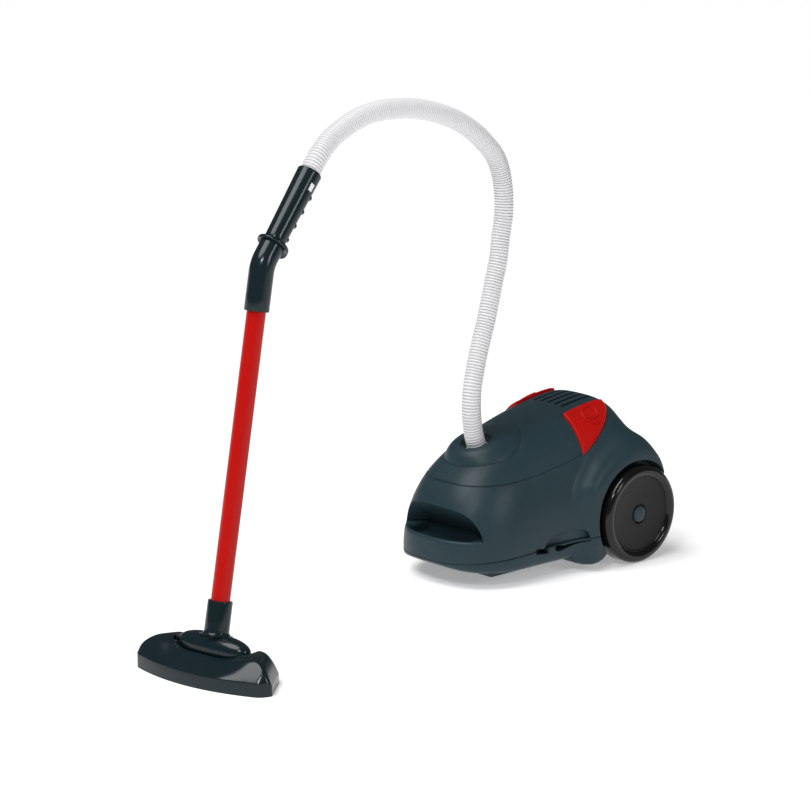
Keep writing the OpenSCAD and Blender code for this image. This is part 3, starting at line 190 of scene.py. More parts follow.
class Finishes(bpy.types.PropertyGroup):
    """Colours of the plastics."""

    shell: colour("Shell", "Satin plastic of the body", (0.0180, 0.039, 0.048))
    glossy: colour("Glossy dark", "Glossy plastic of handle and nozzle", (0.0065, 0.0155, 0.0195))
    red: colour("Red", "Plastic of tube and buttons", (0.46, 0.006, 0.004))
    black: colour("Black", "Plastic of the wheels", (0.006, 0.006, 0.006))
    white: colour("White", "Plastic of the hose", (0.84, 0.84, 0.85))
    floor: colour("Floor", "Floor of the studio", (0.92, 0.92, 0.92))


# Shader graphs


class Socket:
    """An output socket whose arithmetic adds Math nodes."""

    def __init__(self, graph, socket):
        self.graph = graph
        self.socket = socket

    def _math(self, operation, first, second):
        return self.graph.add("ShaderNodeMath", {"operation": operation}, {0: first, 1: second})

    def __add__(self, other):
        return self._math("ADD", self, other)

    def __radd__(self, other):
        return self._math("ADD", other, self)

    def __sub__(self, other):
        return self._math("SUBTRACT", self, other)

    def __rsub__(self, other):
        return self._math("SUBTRACT", other, self)

    def __mul__(self, other):
        return self._math("MULTIPLY", self, other)

    def __rmul__(self, other):
        return self._math("MULTIPLY", other, self)


class Graph:
    """A material's nodes, added one by one."""

    def __init__(self, name):
        self.material = bpy.data.materials.new(name)
        self.material.use_nodes = True
        self.tree = self.material.node_tree
        self.tree.nodes.clear()

    def add(self, kind, settings=None, values=None, output=0):
        """A node of this kind: its settings first, then the values or links of its sockets."""
        node = self.tree.nodes.new(kind)
        for key, value in (settings or {}).items():
            setattr(node, key, value)
        for key, value in (values or {}).items():
            if isinstance(value, Socket):
                self.tree.links.new(value.socket, node.inputs[key])
            else:
                node.inputs[key].default_value = value
        return Socket(self, node.outputs[output]) if node.outputs else None

    def place(self):
        return self.add("ShaderNodeTexCoord", output="Object")

    def noise(self, scale, detail=2.0, roughness=0.5, vector=None):
        return self.add("ShaderNodeTexNoise", {"noise_dimensions": "3D"},
                        {"Vector": vector or self.place(), "Scale": scale, "Detail": detail, "Roughness": roughness})

    def mix(self, factor, first, second):
        return self.add("ShaderNodeMix", {"data_type": "RGBA"}, {0: factor, 6: first, 7: second}, output=2)

    def bump(self, height, strength, distance):
        return self.add("ShaderNodeBump", {}, {"Strength": strength, "Distance": distance, "Height": height})

    def finish(self, values):
        shader = self.add("ShaderNodeBsdfPrincipled", {}, values)
        self.add("ShaderNodeOutputMaterial", {}, {"Surface": shader})
        return self.material


def rgba(tint, gain=1.0):
    return (tint[0] * gain, tint[1] * gain, tint[2] * gain, 1.0)


def moulded_plastic(name, tint, rough, grain, gloss_spread, specular, spread):
    """Injection-moulded plastic: eroded grain, faint flow clouds and handling marks in its gloss."""
    graph = Graph(name)
    clouds = graph.noise(22.0, 3.0, 0.55)
    marks = graph.noise(140.0, 4.0, 0.6)
    skin = graph.noise(2300.0, 1.0, 0.5)
    base = graph.mix(clouds, rgba(tint, 1 - spread), rgba(tint, 1 + spread))
    roughness = rough + (marks - 0.5) * gloss_spread + (clouds - 0.5) * (gloss_spread * 0.6)
    return graph.finish({
        "Base Color": base, "Roughness": roughness, "Normal": graph.bump(skin, grain, 0.0002),
        "IOR": 1.49, "Specular IOR Level": specular})


def hose_plastic(name, tint):
    """Soft white plastic, with painted shade greying it in the grooves between the ribs."""
    graph = Graph(name)
    clouds = graph.noise(30.0, 3.0, 0.6)
    skin = graph.noise(1500.0, 2.0, 0.5)
    groove = graph.add("ShaderNodeAttribute", {"attribute_name": "groove"}, output="Fac")
    # painted shade: the base colour greys towards the bottom of each rib groove, with a little noise
    groove_shade = groove * 0.9 + (clouds - 0.5) * 0.10
    base = graph.mix(groove_shade, rgba(tint), rgba((tint[0] * 0.55, tint[1] * 0.55, tint[2] * 0.57)))
    return graph.finish({
        "Base Color": base, "Roughness": 0.42 + (clouds - 0.5) * 0.12,
        "Normal": graph.bump(skin, 0.05, 0.0002), "IOR": 1.5})


def brushed_metal(name, tint, rough):
    """Drawn metal with fine lines along the piece."""
    graph = Graph(name)
    stretched = graph.add("ShaderNodeMapping", {}, {"Vector": graph.place(), "Scale": (60.0, 2600.0, 2600.0)})
    lines = graph.noise(1.0, 2.0, 0.5, stretched)
    clouds = graph.noise(90.0, 3.0, 0.6)
    return graph.finish({
        "Base Color": graph.mix(clouds, rgba(tint, 0.85), rgba(tint)), "Metallic": 1.0,
        "Roughness": rough + (lines - 0.5) * 0.22, "Normal": graph.bump(lines, 0.08, 0.0001)})


def studio_floor(name, tint):
    """Pale seamless paper."""
    graph = Graph(name)
    fibres = graph.noise(420.0, 3.0, 0.6)
    return graph.finish({
        "Base Color": graph.mix(fibres, rgba(tint, 0.985), rgba(tint)), "Roughness": 0.85,
        "Normal": graph.bump(fibres, 0.03, 0.0005), "Emission Color": (1, 1, 1, 1), "Emission Strength": 0.32})


# Moulded plastics: a colour or its name in Finishes, roughness, grain, spread of gloss, specular, spread of tint
PLASTICS = {
    "shell_satin": ("shell", 0.40, 0.16, 0.10, 0.24, 0.12),
    "dark_gloss": ("glossy", 0.17, 0.03, 0.07, 0.30, 0.12),
    "red_gloss": ("red", 0.24, 0.03, 0.08, 0.16, 0.05),
    "red_satin": ("red", 0.32, 0.08, 0.10, 0.16, 0.05),
    "rim_gloss": ("black", 0.15, 0.03, 0.06, 0.34, 0.12),
    "disc_satin": ("black", 0.42, 0.12, 0.08, 0.22, 0.12),
    "inner_black": ((0.010, 0.010, 0.011), 0.5, 0.14, 0.10, 0.25, 0.12),
    "white_satin": ("white", 0.40, 0.05, 0.08, 0.4, 0.03),
    "fan_orange": ((0.50, 0.16, 0.025), 0.35, 0.06, 0.10, 0.4, 0.12),
    "cell_wrap": ((0.48, 0.33, 0.07), 0.28, 0.04, 0.10, 0.5, 0.12),
}
METALS = {"drawn_steel": ((0.62, 0.63, 0.65), 0.30), "black_steel": ((0.020, 0.021, 0.023), 0.45)}
MATERIALS = {}


def material(name):
    """The named finish, made once."""
    if name not in MATERIALS:
        tints = bpy.context.scene.toy_finishes
        if name in PLASTICS:
            tint, *rest = PLASTICS[name]
            made = moulded_plastic(name, getattr(tints, tint) if isinstance(tint, str) else tint, *rest)
        elif name in METALS:
            made = brushed_metal(name, *METALS[name])
        elif name == "hose_white":
            made = hose_plastic(name, tints.white)
        else:
            made = studio_floor(name, tints.floor)
        MATERIALS[name] = made
    return MATERIALS[name]


# Modelling by hand


def begin():
    if bpy.context.object and bpy.context.object.mode != "OBJECT":
        bpy.ops.object.mode_set(mode="OBJECT")
    bpy.ops.object.select_all(action="DESELECT")


def only(piece):
    begin()
    piece.select_set(True)
    bpy.context.view_layer.objects.active = piece


def named(piece, name):
    piece.name = name
    piece.data.name = name
    return piece


def skinned(name, rings):
    """A closed skin: a grid bent round so that its rows are these rings, with filled ends."""
    rings = np.asarray(rings, float)
    rings = np.concatenate([rings, rings[:, :1]], axis=1)
    rows, columns = rings.shape[:2]
    begin()
    bpy.ops.mesh.primitive_grid_add(x_subdivisions=columns - 1, y_subdivisions=rows - 1, size=MM)
    piece = named(bpy.context.object, name)
    piece.data.vertices.foreach_set("co", rings.reshape(-1))
    piece.data.update()
    bpy.ops.object.mode_set(mode="EDIT")
    bpy.ops.mesh.select_all(action="SELECT")
    bpy.ops.mesh.remove_doubles(threshold=1e-7)
    bpy.ops.mesh.fill_holes(sides=0)
    bpy.ops.mesh.select_all(action="SELECT")
    bpy.ops.mesh.normals_make_consistent(inside=False)
    bpy.ops.object.mode_set(mode="OBJECT")
    return piece


def spun(name, profile, steps=96):
    """A point drawn out along a profile of (radius, height) and spun about the vertical."""
    begin()
    bpy.ops.mesh.primitive_plane_add(size=MM)
    piece = named(bpy.context.object, name)
    bpy.ops.object.mode_set(mode="EDIT")
    bpy.ops.mesh.select_all(action="SELECT")
    bpy.ops.mesh.merge(type="CENTER")
    bpy.ops.transform.translate(value=(profile[0][0], 0, profile[0][1]))
    for (r0, z0), (r1, z1) in zip(profile, profile[1:]):
        bpy.ops.mesh.extrude_region_move(TRANSFORM_OT_translate={"value": (r1 - r0, 0, z1 - z0)})
    bpy.ops.mesh.select_all(action="SELECT")
    bpy.ops.mesh.spin(steps=steps, angle=2 * math.pi, center=(0, 0, 0), axis=(0, 0, 1))
    bpy.ops.mesh.select_all(action="SELECT")
    bpy.ops.mesh.remove_doubles(threshold=2e-6)
    bpy.ops.mesh.normals_make_consistent(inside=False)
    bpy.ops.object.mode_set(mode="OBJECT")
    return piece


def moved(piece, matrix):
    """The mesh itself is moved, so the object stays at the origin."""
    piece.data.transform(matrix)
    if matrix.determinant() < 0:
        piece.data.flip_normals()
    piece.data.update()
    return piece


def twin(piece, name, matrix):
    copy = piece.copy()
    copy.data = piece.data.copy()
    bpy.context.scene.collection.objects.link(copy)
    return moved(named(copy, name), matrix)


def shaped(piece, other, operation, keep=False):
    """A solid cut from, joined to or kept inside the piece."""
    only(piece)
    change = piece.modifiers.new("shape", "BOOLEAN")
    change.operation = operation
    change.solver = "MANIFOLD"
    change.object = other
    before = len(piece.data.vertices)
    bpy.ops.object.modifier_apply(modifier=change.name)
    if len(piece.data.vertices) == 0:
        raise RuntimeError(f"{piece.name} vanished when {other.name} was applied to its {before} points")
    if not keep:
        bpy.data.objects.remove(other)
    return piece


def cut(piece, *cutters):
    for cutter in cutters:
        shaped(piece, cutter, "DIFFERENCE")
    return piece


def joined(piece, *others):
    """Separate shells that become one piece."""
    only(piece)
    for other in others:
        other.select_set(True)
    bpy.ops.object.join()
    return piece


def dressed(piece, finish, body, nodes, angle=32):
    """Smooth shading, finish, body and the CAD nodes that the piece stands for."""
    only(piece)
    bpy.ops.object.shade_smooth_by_angle(angle=math.radians(angle))
    if not any(piece.data.materials):
        piece.data.materials.clear()
        piece.data.materials.append(material(finish))
        piece.data.polygons.foreach_set("material_index", [0] * len(piece.data.polygons))
    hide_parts(*nodes)
    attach(piece, body)
    return piece


def along_x(height=0.0):
    """The vertical axis laid along +X, at that height."""
    return Matrix.Translation((0, 0, height)) @ Matrix.Rotation(math.pi / 2, 4, "Y")


MIRROR = Matrix.Scale(-1, 4, (1, 0, 0))


def prism(name, outline, across, low, high):
    """An outline drawn out along X ("X": points are y, z), Y (points are x, z) or Z (points are x, y)."""
    order = {"X": (2, 0, 1), "Y": (0, 2, 1), "Z": (0, 1, 2)}[across]
    return skinned(name, [[[(a, b, level)[k] for k in order] for a, b in outline] for level in (low, high)])


def rectangle(x0, x1, y0, y1):
    return [(x0, y0), (x1, y0), (x1, y1), (x0, y1)]


def cylinder(name, radius, low, high, steps=96):
    """A round block or cutter about the vertical."""
    return spun(name, [(0, low), (radius, low), (radius, high), (0, high)], steps)


def swept(name, path, radius, sides, squash=1.0, up=(0, 0, 1)):
    """A round or flattened bar along a path."""
    path = np.asarray(path, float)
    tangent = np.gradient(path, axis=0)
    tangent /= np.linalg.norm(tangent, axis=1)[:, None]
    side = np.cross(tangent, np.asarray(up, float))
    side /= np.linalg.norm(side, axis=1)[:, None]
    lift = np.cross(side, tangent)
    angles = np.linspace(0, 2 * math.pi, sides, endpoint=False)
    radius = np.broadcast_to(np.asarray(radius, float), len(path))
    rings = path[:, None] + radius[:, None, None] * (
        np.cos(angles)[None, :, None] * side[:, None] + squash * np.sin(angles)[None, :, None] * lift[:, None])
    return skinned(name, rings)


# The body's form: sections across its length, as a radius about the middle of the seam

# TOP, FENDER and DEPTH hold shares of the body's length, each with the share of the height or depth that is reached
SEAM_SLOPE = 0.067
TOP = ((0, 0), (0.01, 0.19), (0.04, 0.39), (0.08, 0.54), (0.15, 0.69), (0.23, 0.79), (0.28, 0.835),
       (0.38, 0.897), (0.49, 0.944), (0.64, 0.987), (0.76, 1.005), (0.82, 0.995), (0.87, 0.935),
       (0.91, 0.83), (0.95, 0.67), (1, 0.42))
FENDER = ((0.48, 0.28), (0.54, 0.42), (0.6, 0.53), (0.645, 0.61), (0.71, 0.69), (0.78, 0.75), (0.82, 0.755),
          (0.87, 0.74), (0.91, 0.68), (0.96, 0.55), (1, 0.41))
DEPTH = ((0, 0), (0.01, 0.07), (0.03, 0.15), (0.06, 0.24), (0.12, 0.345), (0.19, 0.42), (0.27, 0.476),
         (0.45, 0.555), (0.64, 0.633), (0.82, 0.714), (0.93, 0.76), (0.98, 0.74), (1, 0.62))


def eased(t, rows):
    """A smooth curve through the rows, each with the slope of its neighbours."""
    x, v = np.array(rows, float).T
    order = np.arange(len(x))
    low, high = np.maximum(order - 1, 0), np.minimum(order + 1, len(x) - 1)
    slope = (v[high] - v[low]) / (x[high] - x[low])
    i = np.clip(np.searchsorted(x, t, side="left") - 1, 0, len(x) - 2)
    d = x[i + 1] - x[i]
    f = np.clip((t - x[i]) / d, 0, 1)
    g = 1 - f
    return (v[i] * (1 + 2 * f) * g * g + v[i + 1] * (3 - 2 * f) * f * f
            + d * (slope[i] * f * g * g - slope[i + 1] * f * f * g))


def smooth(f):
    f = np.clip(f, 0, 1)
    return f * f * (3 - 2 * f)


def halved(low, high, holds, rounds=34):
    """Where a test that holds at low stops holding, by halving the stretch."""
    for _ in range(rounds):
        mid = (low + high) / 2
        yes = holds(mid)
        low, high = np.where(yes, mid, low), np.where(yes, high, mid)
    return (low + high) / 2


class BodyForm:
    """The body's outer surface, from its sizes."""

    NOSE, NOSE_HALF, NOSE_POWER = 0.34, 0.9, 2.5
    SHOULDER, TAPER = 0.748, 0.4
    FLAT, FLAT_GAIN, FLAT_FROM, FLAT_RUN = 2.7, 0.5, 0.27, 0.37
    FENDER_FROM, FENDER_FULL, FENDER_POWER, FENDER_TUCK, FENDER_LEAST = 0.49, 0.60, 8, 0.014, 0.05
    PAN_POWER, PAN_ROUND = 0.4, 0.7
    EDGE = 0.0011

    def __init__(self, sizes):
        self.s = sizes
        self.length = sizes.nose_reach + sizes.tail_reach

    def seam(self, y):
        return self.s.seam_height + SEAM_SLOPE * y

    def share(self, y):
        return (np.asarray(y, float) + self.s.nose_reach) / self.length

    def half(self, t):
        t = np.clip(t, 1e-5, 1)
        nose = self.NOSE_HALF * (1 - (1 - np.minimum(t / self.NOSE, 1)) ** self.NOSE_POWER) ** (1 / self.NOSE_POWER)
        body = self.NOSE_HALF + (1 - self.NOSE_HALF) * (t - self.NOSE) / (self.SHOULDER - self.NOSE)
        tail = 1 - self.TAPER * (np.maximum(t - self.SHOULDER, 0) / (1 - self.SHOULDER)) ** 2
        return self.s.half_width * np.where(t < self.NOSE, nose, np.where(t < self.SHOULDER, body, tail))

    def rise(self, t):
        return np.maximum(eased(t, TOP), 1e-4) * (self.s.height - self.s.seam_height)

    def radius(self, t, angle):
        t, angle = np.broadcast_arrays(np.asarray(t, float), np.asarray(angle, float))
        c, s = np.abs(np.cos(angle)), np.abs(np.sin(angle))
        half = self.half(t)
        a, b = c / half, s / self.rise(t)
        power = self.FLAT + self.FLAT_GAIN * np.clip((t - self.FLAT_FROM) / self.FLAT_RUN, 0, 1)
        main = halved(np.zeros_like(a), np.full_like(a, self.length), lambda d: (a * d) ** power + (b * d) ** 2 < 1)
        swell = smooth((t - self.FENDER_FROM) / (self.FENDER_FULL - self.FENDER_FROM))
        wide = (half - self.FENDER_TUCK) * (1 - swell) + self.s.fender_half * swell
        tall = np.maximum(eased(t, FENDER), self.FENDER_LEAST) * (self.s.height - self.s.seam_height)
        fender = ((c / wide) ** self.FENDER_POWER + (s / tall) ** self.FENDER_POWER) ** (-1 / self.FENDER_POWER)
        fender = np.where(t < self.FENDER_FROM, 0, fender)
        k = self.s.fender_blend
        d = np.maximum(k - np.abs(main - fender), 0) / k
        return np.maximum(main, fender) + d * d * k / 4

    def depth(self, t):
        return eased(t, DEPTH) * self.s.seam_height

    def inset(self, y):
        """How far the tail's rounding pulls a section in."""
        r = self.s.tail_round
        over = np.clip(y - (self.s.tail_reach - r), 0, r)
        return r - np.sqrt(r * r - over * over)

    def stations(self, fine=1.0):
        r = self.s.tail_round
        nose = np.linspace(0.06, 1, int(26 * fine)) ** 2 * 0.1
        flank = np.linspace(0.1, 1 - r / self.length, int(84 * fine))[1:]
        tail = 1 - r / self.length * (1 - np.sin(np.linspace(0, math.pi / 2, 11)[1:]))
        return np.concatenate([nose, flank, tail])

    def height(self, x, y):
        """Height of the outer surface above a point of the plan."""
        x, y = np.broadcast_arrays(np.asarray(x, float), np.asarray(y, float))
        t = self.share(y)
        angle = halved(np.zeros_like(x), np.full_like(x, math.pi / 2),
                       lambda a: self.radius(t, a) * np.cos(a) > np.abs(x))
        return self.seam(y) + self.radius(t, angle) * np.sin(angle)

    def front(self, x, z):
        """Where the nose's surface stands, seen from the front."""
        x, z = np.broadcast_arrays(np.asarray(x, float), np.asarray(z, float))

        def outside(y):
            rise = z - self.seam(y)
            return self.radius(self.share(y), np.arctan2(rise, np.abs(x))) < np.hypot(x, rise)

        tip = -self.s.nose_reach
        return halved(np.full_like(x, tip + 1e-5), np.full_like(x, tip + 0.15), outside)

    def flank(self, y, z):
        """Half width of the flank at a height."""
        y, z = np.broadcast_arrays(np.asarray(y, float), np.asarray(z, float))
        rise = z - self.seam(y)
        return halved(np.zeros_like(y), np.full_like(y, 0.12),
                      lambda x: self.radius(self.share(y), np.arctan2(rise, x)) > np.hypot(x, rise))

    def sections(self, lift, fine):
        """Shares and places of the sections of a form grown by lift."""
        t = self.stations(fine)
        return t, -self.s.nose_reach - lift + t * (self.length + 2 * lift)

    def closed(self, name, y, arc, half, soft, side, past):
        """A form closed below or above its arc, past the seam or with a rounded edge beside the seam's gap."""
        gap = self.s.seam_gap / 2
        feet = [(half - a * soft, side * (gap + b * soft)) for a, b in ((0.6, 0), (0.18, 0.35), (0, 1))]
        if past is not None:
            feet = [(half, -side * past + 0 * y)]
        right = [np.stack([x, y, self.seam(y) + z], 1) for x, z in feet]
        left = [np.stack([-x, y, self.seam(y) + z], 1) for x, z in reversed(feet)]
        return skinned(name, np.concatenate([np.stack(right, 1), arc, np.stack(left, 1)], axis=1))

    def shell(self, name, lift=0.0, past=None, steps=112, fine=1.0):
        """The upper form grown by lift."""
        t, y = self.sections(lift, fine)
        angles = np.linspace(0, math.pi, steps + 1)
        r = self.radius(t[:, None], angles[None]) + lift - self.inset(y - lift)[:, None]
        arc = np.stack([r * np.cos(angles), np.broadcast_to(y[:, None], r.shape),
                        self.seam(y)[:, None] + r * np.sin(angles)], 2)
        soft = np.minimum(self.EDGE, 0.6 * r[:, 1] * np.sin(angles[1]))
        return self.closed(name, y, arc[:, 1:-1], r[:, 0], soft, 1, past)

    def pan(self, name, lift=0.0, past=None, steps=72, fine=1.0):
        """The lower form grown by lift."""
        t, y = self.sections(lift, fine)
        inset = self.inset(y - lift)
        w = self.radius(t, 0 * t) + lift - inset
        d = np.maximum(self.depth(t) + lift - inset * self.PAN_ROUND, self.s.wall / 2)
        angles = np.linspace(0, math.pi, steps + 1)[1:-1]
        c, sink = np.cos(angles), np.sin(angles) ** self.PAN_POWER
        bow = np.sign(c) * np.abs(c) ** self.PAN_POWER
        arc = np.stack([w[:, None] * bow, np.broadcast_to(y[:, None], (len(y), len(c))),
                        self.seam(y)[:, None] - d[:, None] * sink], 2)
        return self.closed(name, y, arc, w, np.minimum(self.EDGE, 0.3 * d * sink[0]), -1, past)

    def cover_edge(self, y):
        s = self.s
        return s.cover_edge + s.cover_rise * (np.maximum(0, np.asarray(y, float) / s.nose_reach + 0.865) / 0.6) ** 2

    def cover_region(self, name, gap):
        """What lies above the cover's edge and between the buttons."""
        s = self.s
        clear = s.button_gap - s.cover_gap + gap
        front, back = -s.button_length - clear, MM - gap
        y = np.linspace(-s.nose_reach - 0.004, front, 40)
        top = s.height * 1.5
        side = [*zip(y, self.cover_edge(y) + gap), (front, top), (y[0], top)]
        region = prism(name, side, "X", -0.1, 0.1)
        edge = float(self.cover_edge(front)) + gap
        inner = s.button_in - clear
        between = prism("between", rectangle(-inner, inner, front - MM, back), "Z", edge, top)
        return shaped(region, between, "UNION")

    def cover_line(self):
        """The cover's edge on the outer surface, from one button to the other round the nose."""
        s = self.s
        front = -s.button_length - s.button_gap

        def below(y, angle):
            return self.seam(y) + self.radius(self.share(y), angle) * np.sin(angle) < self.cover_edge(y)

        low = float(halved(0.0, math.pi / 2, lambda angle: below(front, angle), 40))
        angles = np.linspace(low, math.pi - low, 181)
        y = halved(np.full_like(angles, -s.nose_reach + 1e-4), np.full_like(angles, front),
                   lambda place: below(place, angles), 40)
        r = self.radius(self.share(y), angles)
        return np.stack([r * np.cos(angles), y, self.seam(y) + r * np.sin(angles)], 1)

    def button_plan(self, grow, points=160, soften=0):
        """A quarter ellipse with its square corner inside and in front, evenly spaced."""
        s = self.s
        a = np.linspace(0, math.pi / 2, 60)
        x = s.button_in + (s.button_width + grow) * np.cos(a)
        y = -s.button_length + (s.button_length + grow) * np.sin(a)
        x[-1] -= grow
        y[0] -= grow
        loop = [(s.button_in - grow, -s.button_length - grow), *zip(x, y)]
        loop = np.array([*loop, loop[0]])
        run = np.concatenate([[0], np.cumsum(np.linalg.norm(np.diff(loop, axis=0), axis=1))])
        at = np.linspace(0, run[-1], points, endpoint=False)
        plan = np.stack([np.interp(at, run, loop[:, 0]), np.interp(at, run, loop[:, 1])], 1)
        for _ in range(soften):
            plan = (np.roll(plan, 1, 0) + 2 * plan + np.roll(plan, -1, 0)) / 4
        return plan


WELL_ROOM, ARCH_FLARE, ARCH_PAST, COVER_GROOVE = 0.0034, 0.0016, 0.006, 0.0009


def wheel_well(s, wheels, name, wall, outer, flare=0.0):
    """A round well about the axle, grown by a wall, with a flared mouth for a cutter."""
    radius = wheels.radius + wheels.arch_gap + wall
    inner = wheels.face - wheels.width - WELL_ROOM - wall
    profile = [(0, inner), (radius, inner)]
    if flare:
        profile += [(radius + flare * (1 - math.cos(a)), s.fender_half - flare * 1.1 + flare * math.sin(a))
                    for a in np.linspace(0, math.pi / 2, 6)]
    profile += [(radius + flare, outer), (0, outer)]
    return moved(spun(name, profile, 128), along_x(wheels.radius))


def both(maker):
    """The piece on the left and its mirror image on the right."""
    first = maker()
    return first, twin(first, first.name + "_right", MIRROR)


def clip_back(low, high):
    """Room for the walls of the lead clip, behind the flank."""
    return prism("clip_back", rectangle(-0.139, -0.060, low, high), "X", 0.060, 0.090)


def cut_clips(piece, form):
    """The lead clip in the flank's seam: a square hole, and behind a nub a slit that narrows. Points are in mm."""
    hole = ((-134, 2.6), (-117.5, -0.8), (-117.5, -6.4), (-134, -3.4))
    slit = ((-108, -0.6), (-104, -0.6), (-96, -2.4), (-80, -2.4), (-67, -1.6), (-67, -2.6), (-80, -4.4), (-92, -6.2),
            (-100, -7.6), (-105, -7.0), (-108, -5.0))
    holes = [prism("clip", [(y * MM, form.seam(y * MM) + z * MM) for y, z in points], "X", 0.0635, 0.1)
             for points in (hole, slit)]
    for cutter in holes:
        cut(piece, twin(cutter, "clip_right", MIRROR), cutter)


def cut_arches(piece, s, wheels):
    outer = s.fender_half + ARCH_PAST
    cut(piece, *both(lambda: wheel_well(s, wheels, "arch", 0.0, outer, ARCH_FLARE)))


def backed(piece, inside, s, wheels, clip_low, clip_high, block):
    """Wheel wells, clip rooms and one more block joined on inside the wall."""
    for part in (*both(lambda: wheel_well(s, wheels, "well", s.wall, s.fender_half)),
                 *both(lambda: clip_back(clip_low, clip_high)), block):
        shaped(part, inside, "INTERSECT", keep=True)
        shaped(piece, part, "UNION")
    bpy.data.objects.remove(inside)


class TOYVAC_OT_stage(bpy.types.Operator):
    """Camera, pale floor and soft studio light"""

    bl_idname = "toy_vacuum.stage"
    bl_label = "Stage"
    CAMERA_REACH, CAMERA_PITCH, CAMERA_HEADING, HALF_VIEW = (2.38042, -2.44659, 0.971799), 76.5, 47.3, 7
    FLOOR_SIZE, AMBIENT = 60, 0.10
    SKY_POWER, SKY_SPREAD, SKY_PITCH, SKY_ROLL = 2.3, 38, 25, -8
    LAMPS = (("key", (1.5, -2.4, 2.6), (0, 0, 0.1), (0.7, 0.45), 32),
             ("side", (2.9, 0.3, 1.5), (0, 0.2, 0.1), (0.5, 1.0), 18))

    def hung(self, scene, name, data, place=(0, 0, 0), angles=(0, 0, 0)):
        """A camera or light at its place."""
        item = bpy.data.objects.new(name, data)
        item.location = place
        item.rotation_euler = angles
        scene.collection.objects.link(item)
        return item

    def execute(self, context):
        scene = context.scene
        scene.view_settings.view_transform = "Standard"
        lens = bpy.data.cameras.new("camera")
        lens.sensor_width = 36
        lens.lens = lens.sensor_width / 2 / math.tan(math.radians(self.HALF_VIEW))
        lens.clip_start, lens.clip_end = 0.1, 100
        scene.camera = self.hung(scene, "camera", lens, Vector((AXLE.x, AXLE.y, 0)) + Vector(self.CAMERA_REACH),
                                 (math.radians(self.CAMERA_PITCH), 0, math.radians(self.CAMERA_HEADING)))
        begin()
        bpy.ops.mesh.primitive_grid_add(x_subdivisions=4, y_subdivisions=4, size=self.FLOOR_SIZE, location=(0, 0, 0))
        floor = named(bpy.context.object, "floor")
        floor.data.materials.append(material("studio_paper"))
        world = bpy.data.worlds.new("studio")
        world.use_nodes = True
        background = world.node_tree.nodes["Background"]
        background.inputs["Color"].default_value = (1, 1, 1, 1)
        background.inputs["Strength"].default_value = self.AMBIENT
        scene.world = world
        sky = bpy.data.lights.new("sky", "SUN")
        sky.energy = self.SKY_POWER
        sky.angle = math.radians(self.SKY_SPREAD)
        self.hung(scene, "sky", sky, angles=(math.radians(self.SKY_PITCH), math.radians(self.SKY_ROLL), 0))
        for name, place, aim, size, power in self.LAMPS:
            lamp = bpy.data.lights.new(name, "AREA")
            lamp.shape = "RECTANGLE"
            lamp.size, lamp.size_y = size
            lamp.energy = power
            facing = (Vector(aim) - Vector(place)).to_track_quat("-Z", "Y").to_euler()
            self.hung(scene, name, lamp, place, facing)
        return {"FINISHED"}


# Places along the hose's arch, in mm from the floor below the axle
HOSE_POINTS = (
    (1.5, -158.5, 174), (1.5, -157.5, 197), (-0.5, -150.5, 219), (-2.5, -142.5, 240), (-4.5, -133.5, 260),
    (-6.5, -125.5, 281), (-8.5, -117.5, 303), (-9.5, -110.5, 324), (-11.5, -105.5, 346), (-11.5, -101.5, 368),
    (-12, -101, 391), (-12, -105, 412.5), (-9.5, -115.5, 431.5), (-6, -132, 446.5), (-2.5, -149.5, 459.5),
    (1.5, -168, 470), (6, -187.5, 479), (10.5, -207.5, 486), (15, -228, 492), (19.5, -249.5, 497),
    (23.5, -271, 500.5), (29, -292.5, 502.5), (33.5, -313, 503.5), (38, -334.5, 502.5), (43.5, -356.5, 499),
    (48, -377, 493), (53, -397, 485))


def wand_frames():
    """Frames at the nozzle's pivot along the wand, and at the bend along the grip."""
    wand, nozzle = bpy.context.scene.toy_wand, bpy.context.scene.toy_nozzle
    foot = Matrix.Translation((PIVOT.x, PIVOT.y, 0)) @ Matrix.Rotation(nozzle.heading, 4, "Z")
    rod = foot @ Matrix.Translation((0, 0, PIVOT.z)) @ Matrix.Rotation(-wand.lean, 4, "X")
    grip = rod @ Matrix.Translation((0, 0, wand.bend_at)) @ Matrix.Rotation(-wand.bend, 4, "X")
    return foot, rod, grip


def bend_run(wand):
    """Length of the wand that the elbow's bend takes up on either side."""
    return wand.bend_radius * math.tan(wand.bend / 2)


def inlet_frame():
    body = bpy.context.scene.toy_body
    return (IN_BODY @ Matrix.Translation((0, -body.inlet_reach, body.inlet_height))
            @ Matrix.Rotation(body.inlet_tilt, 4, "X"))


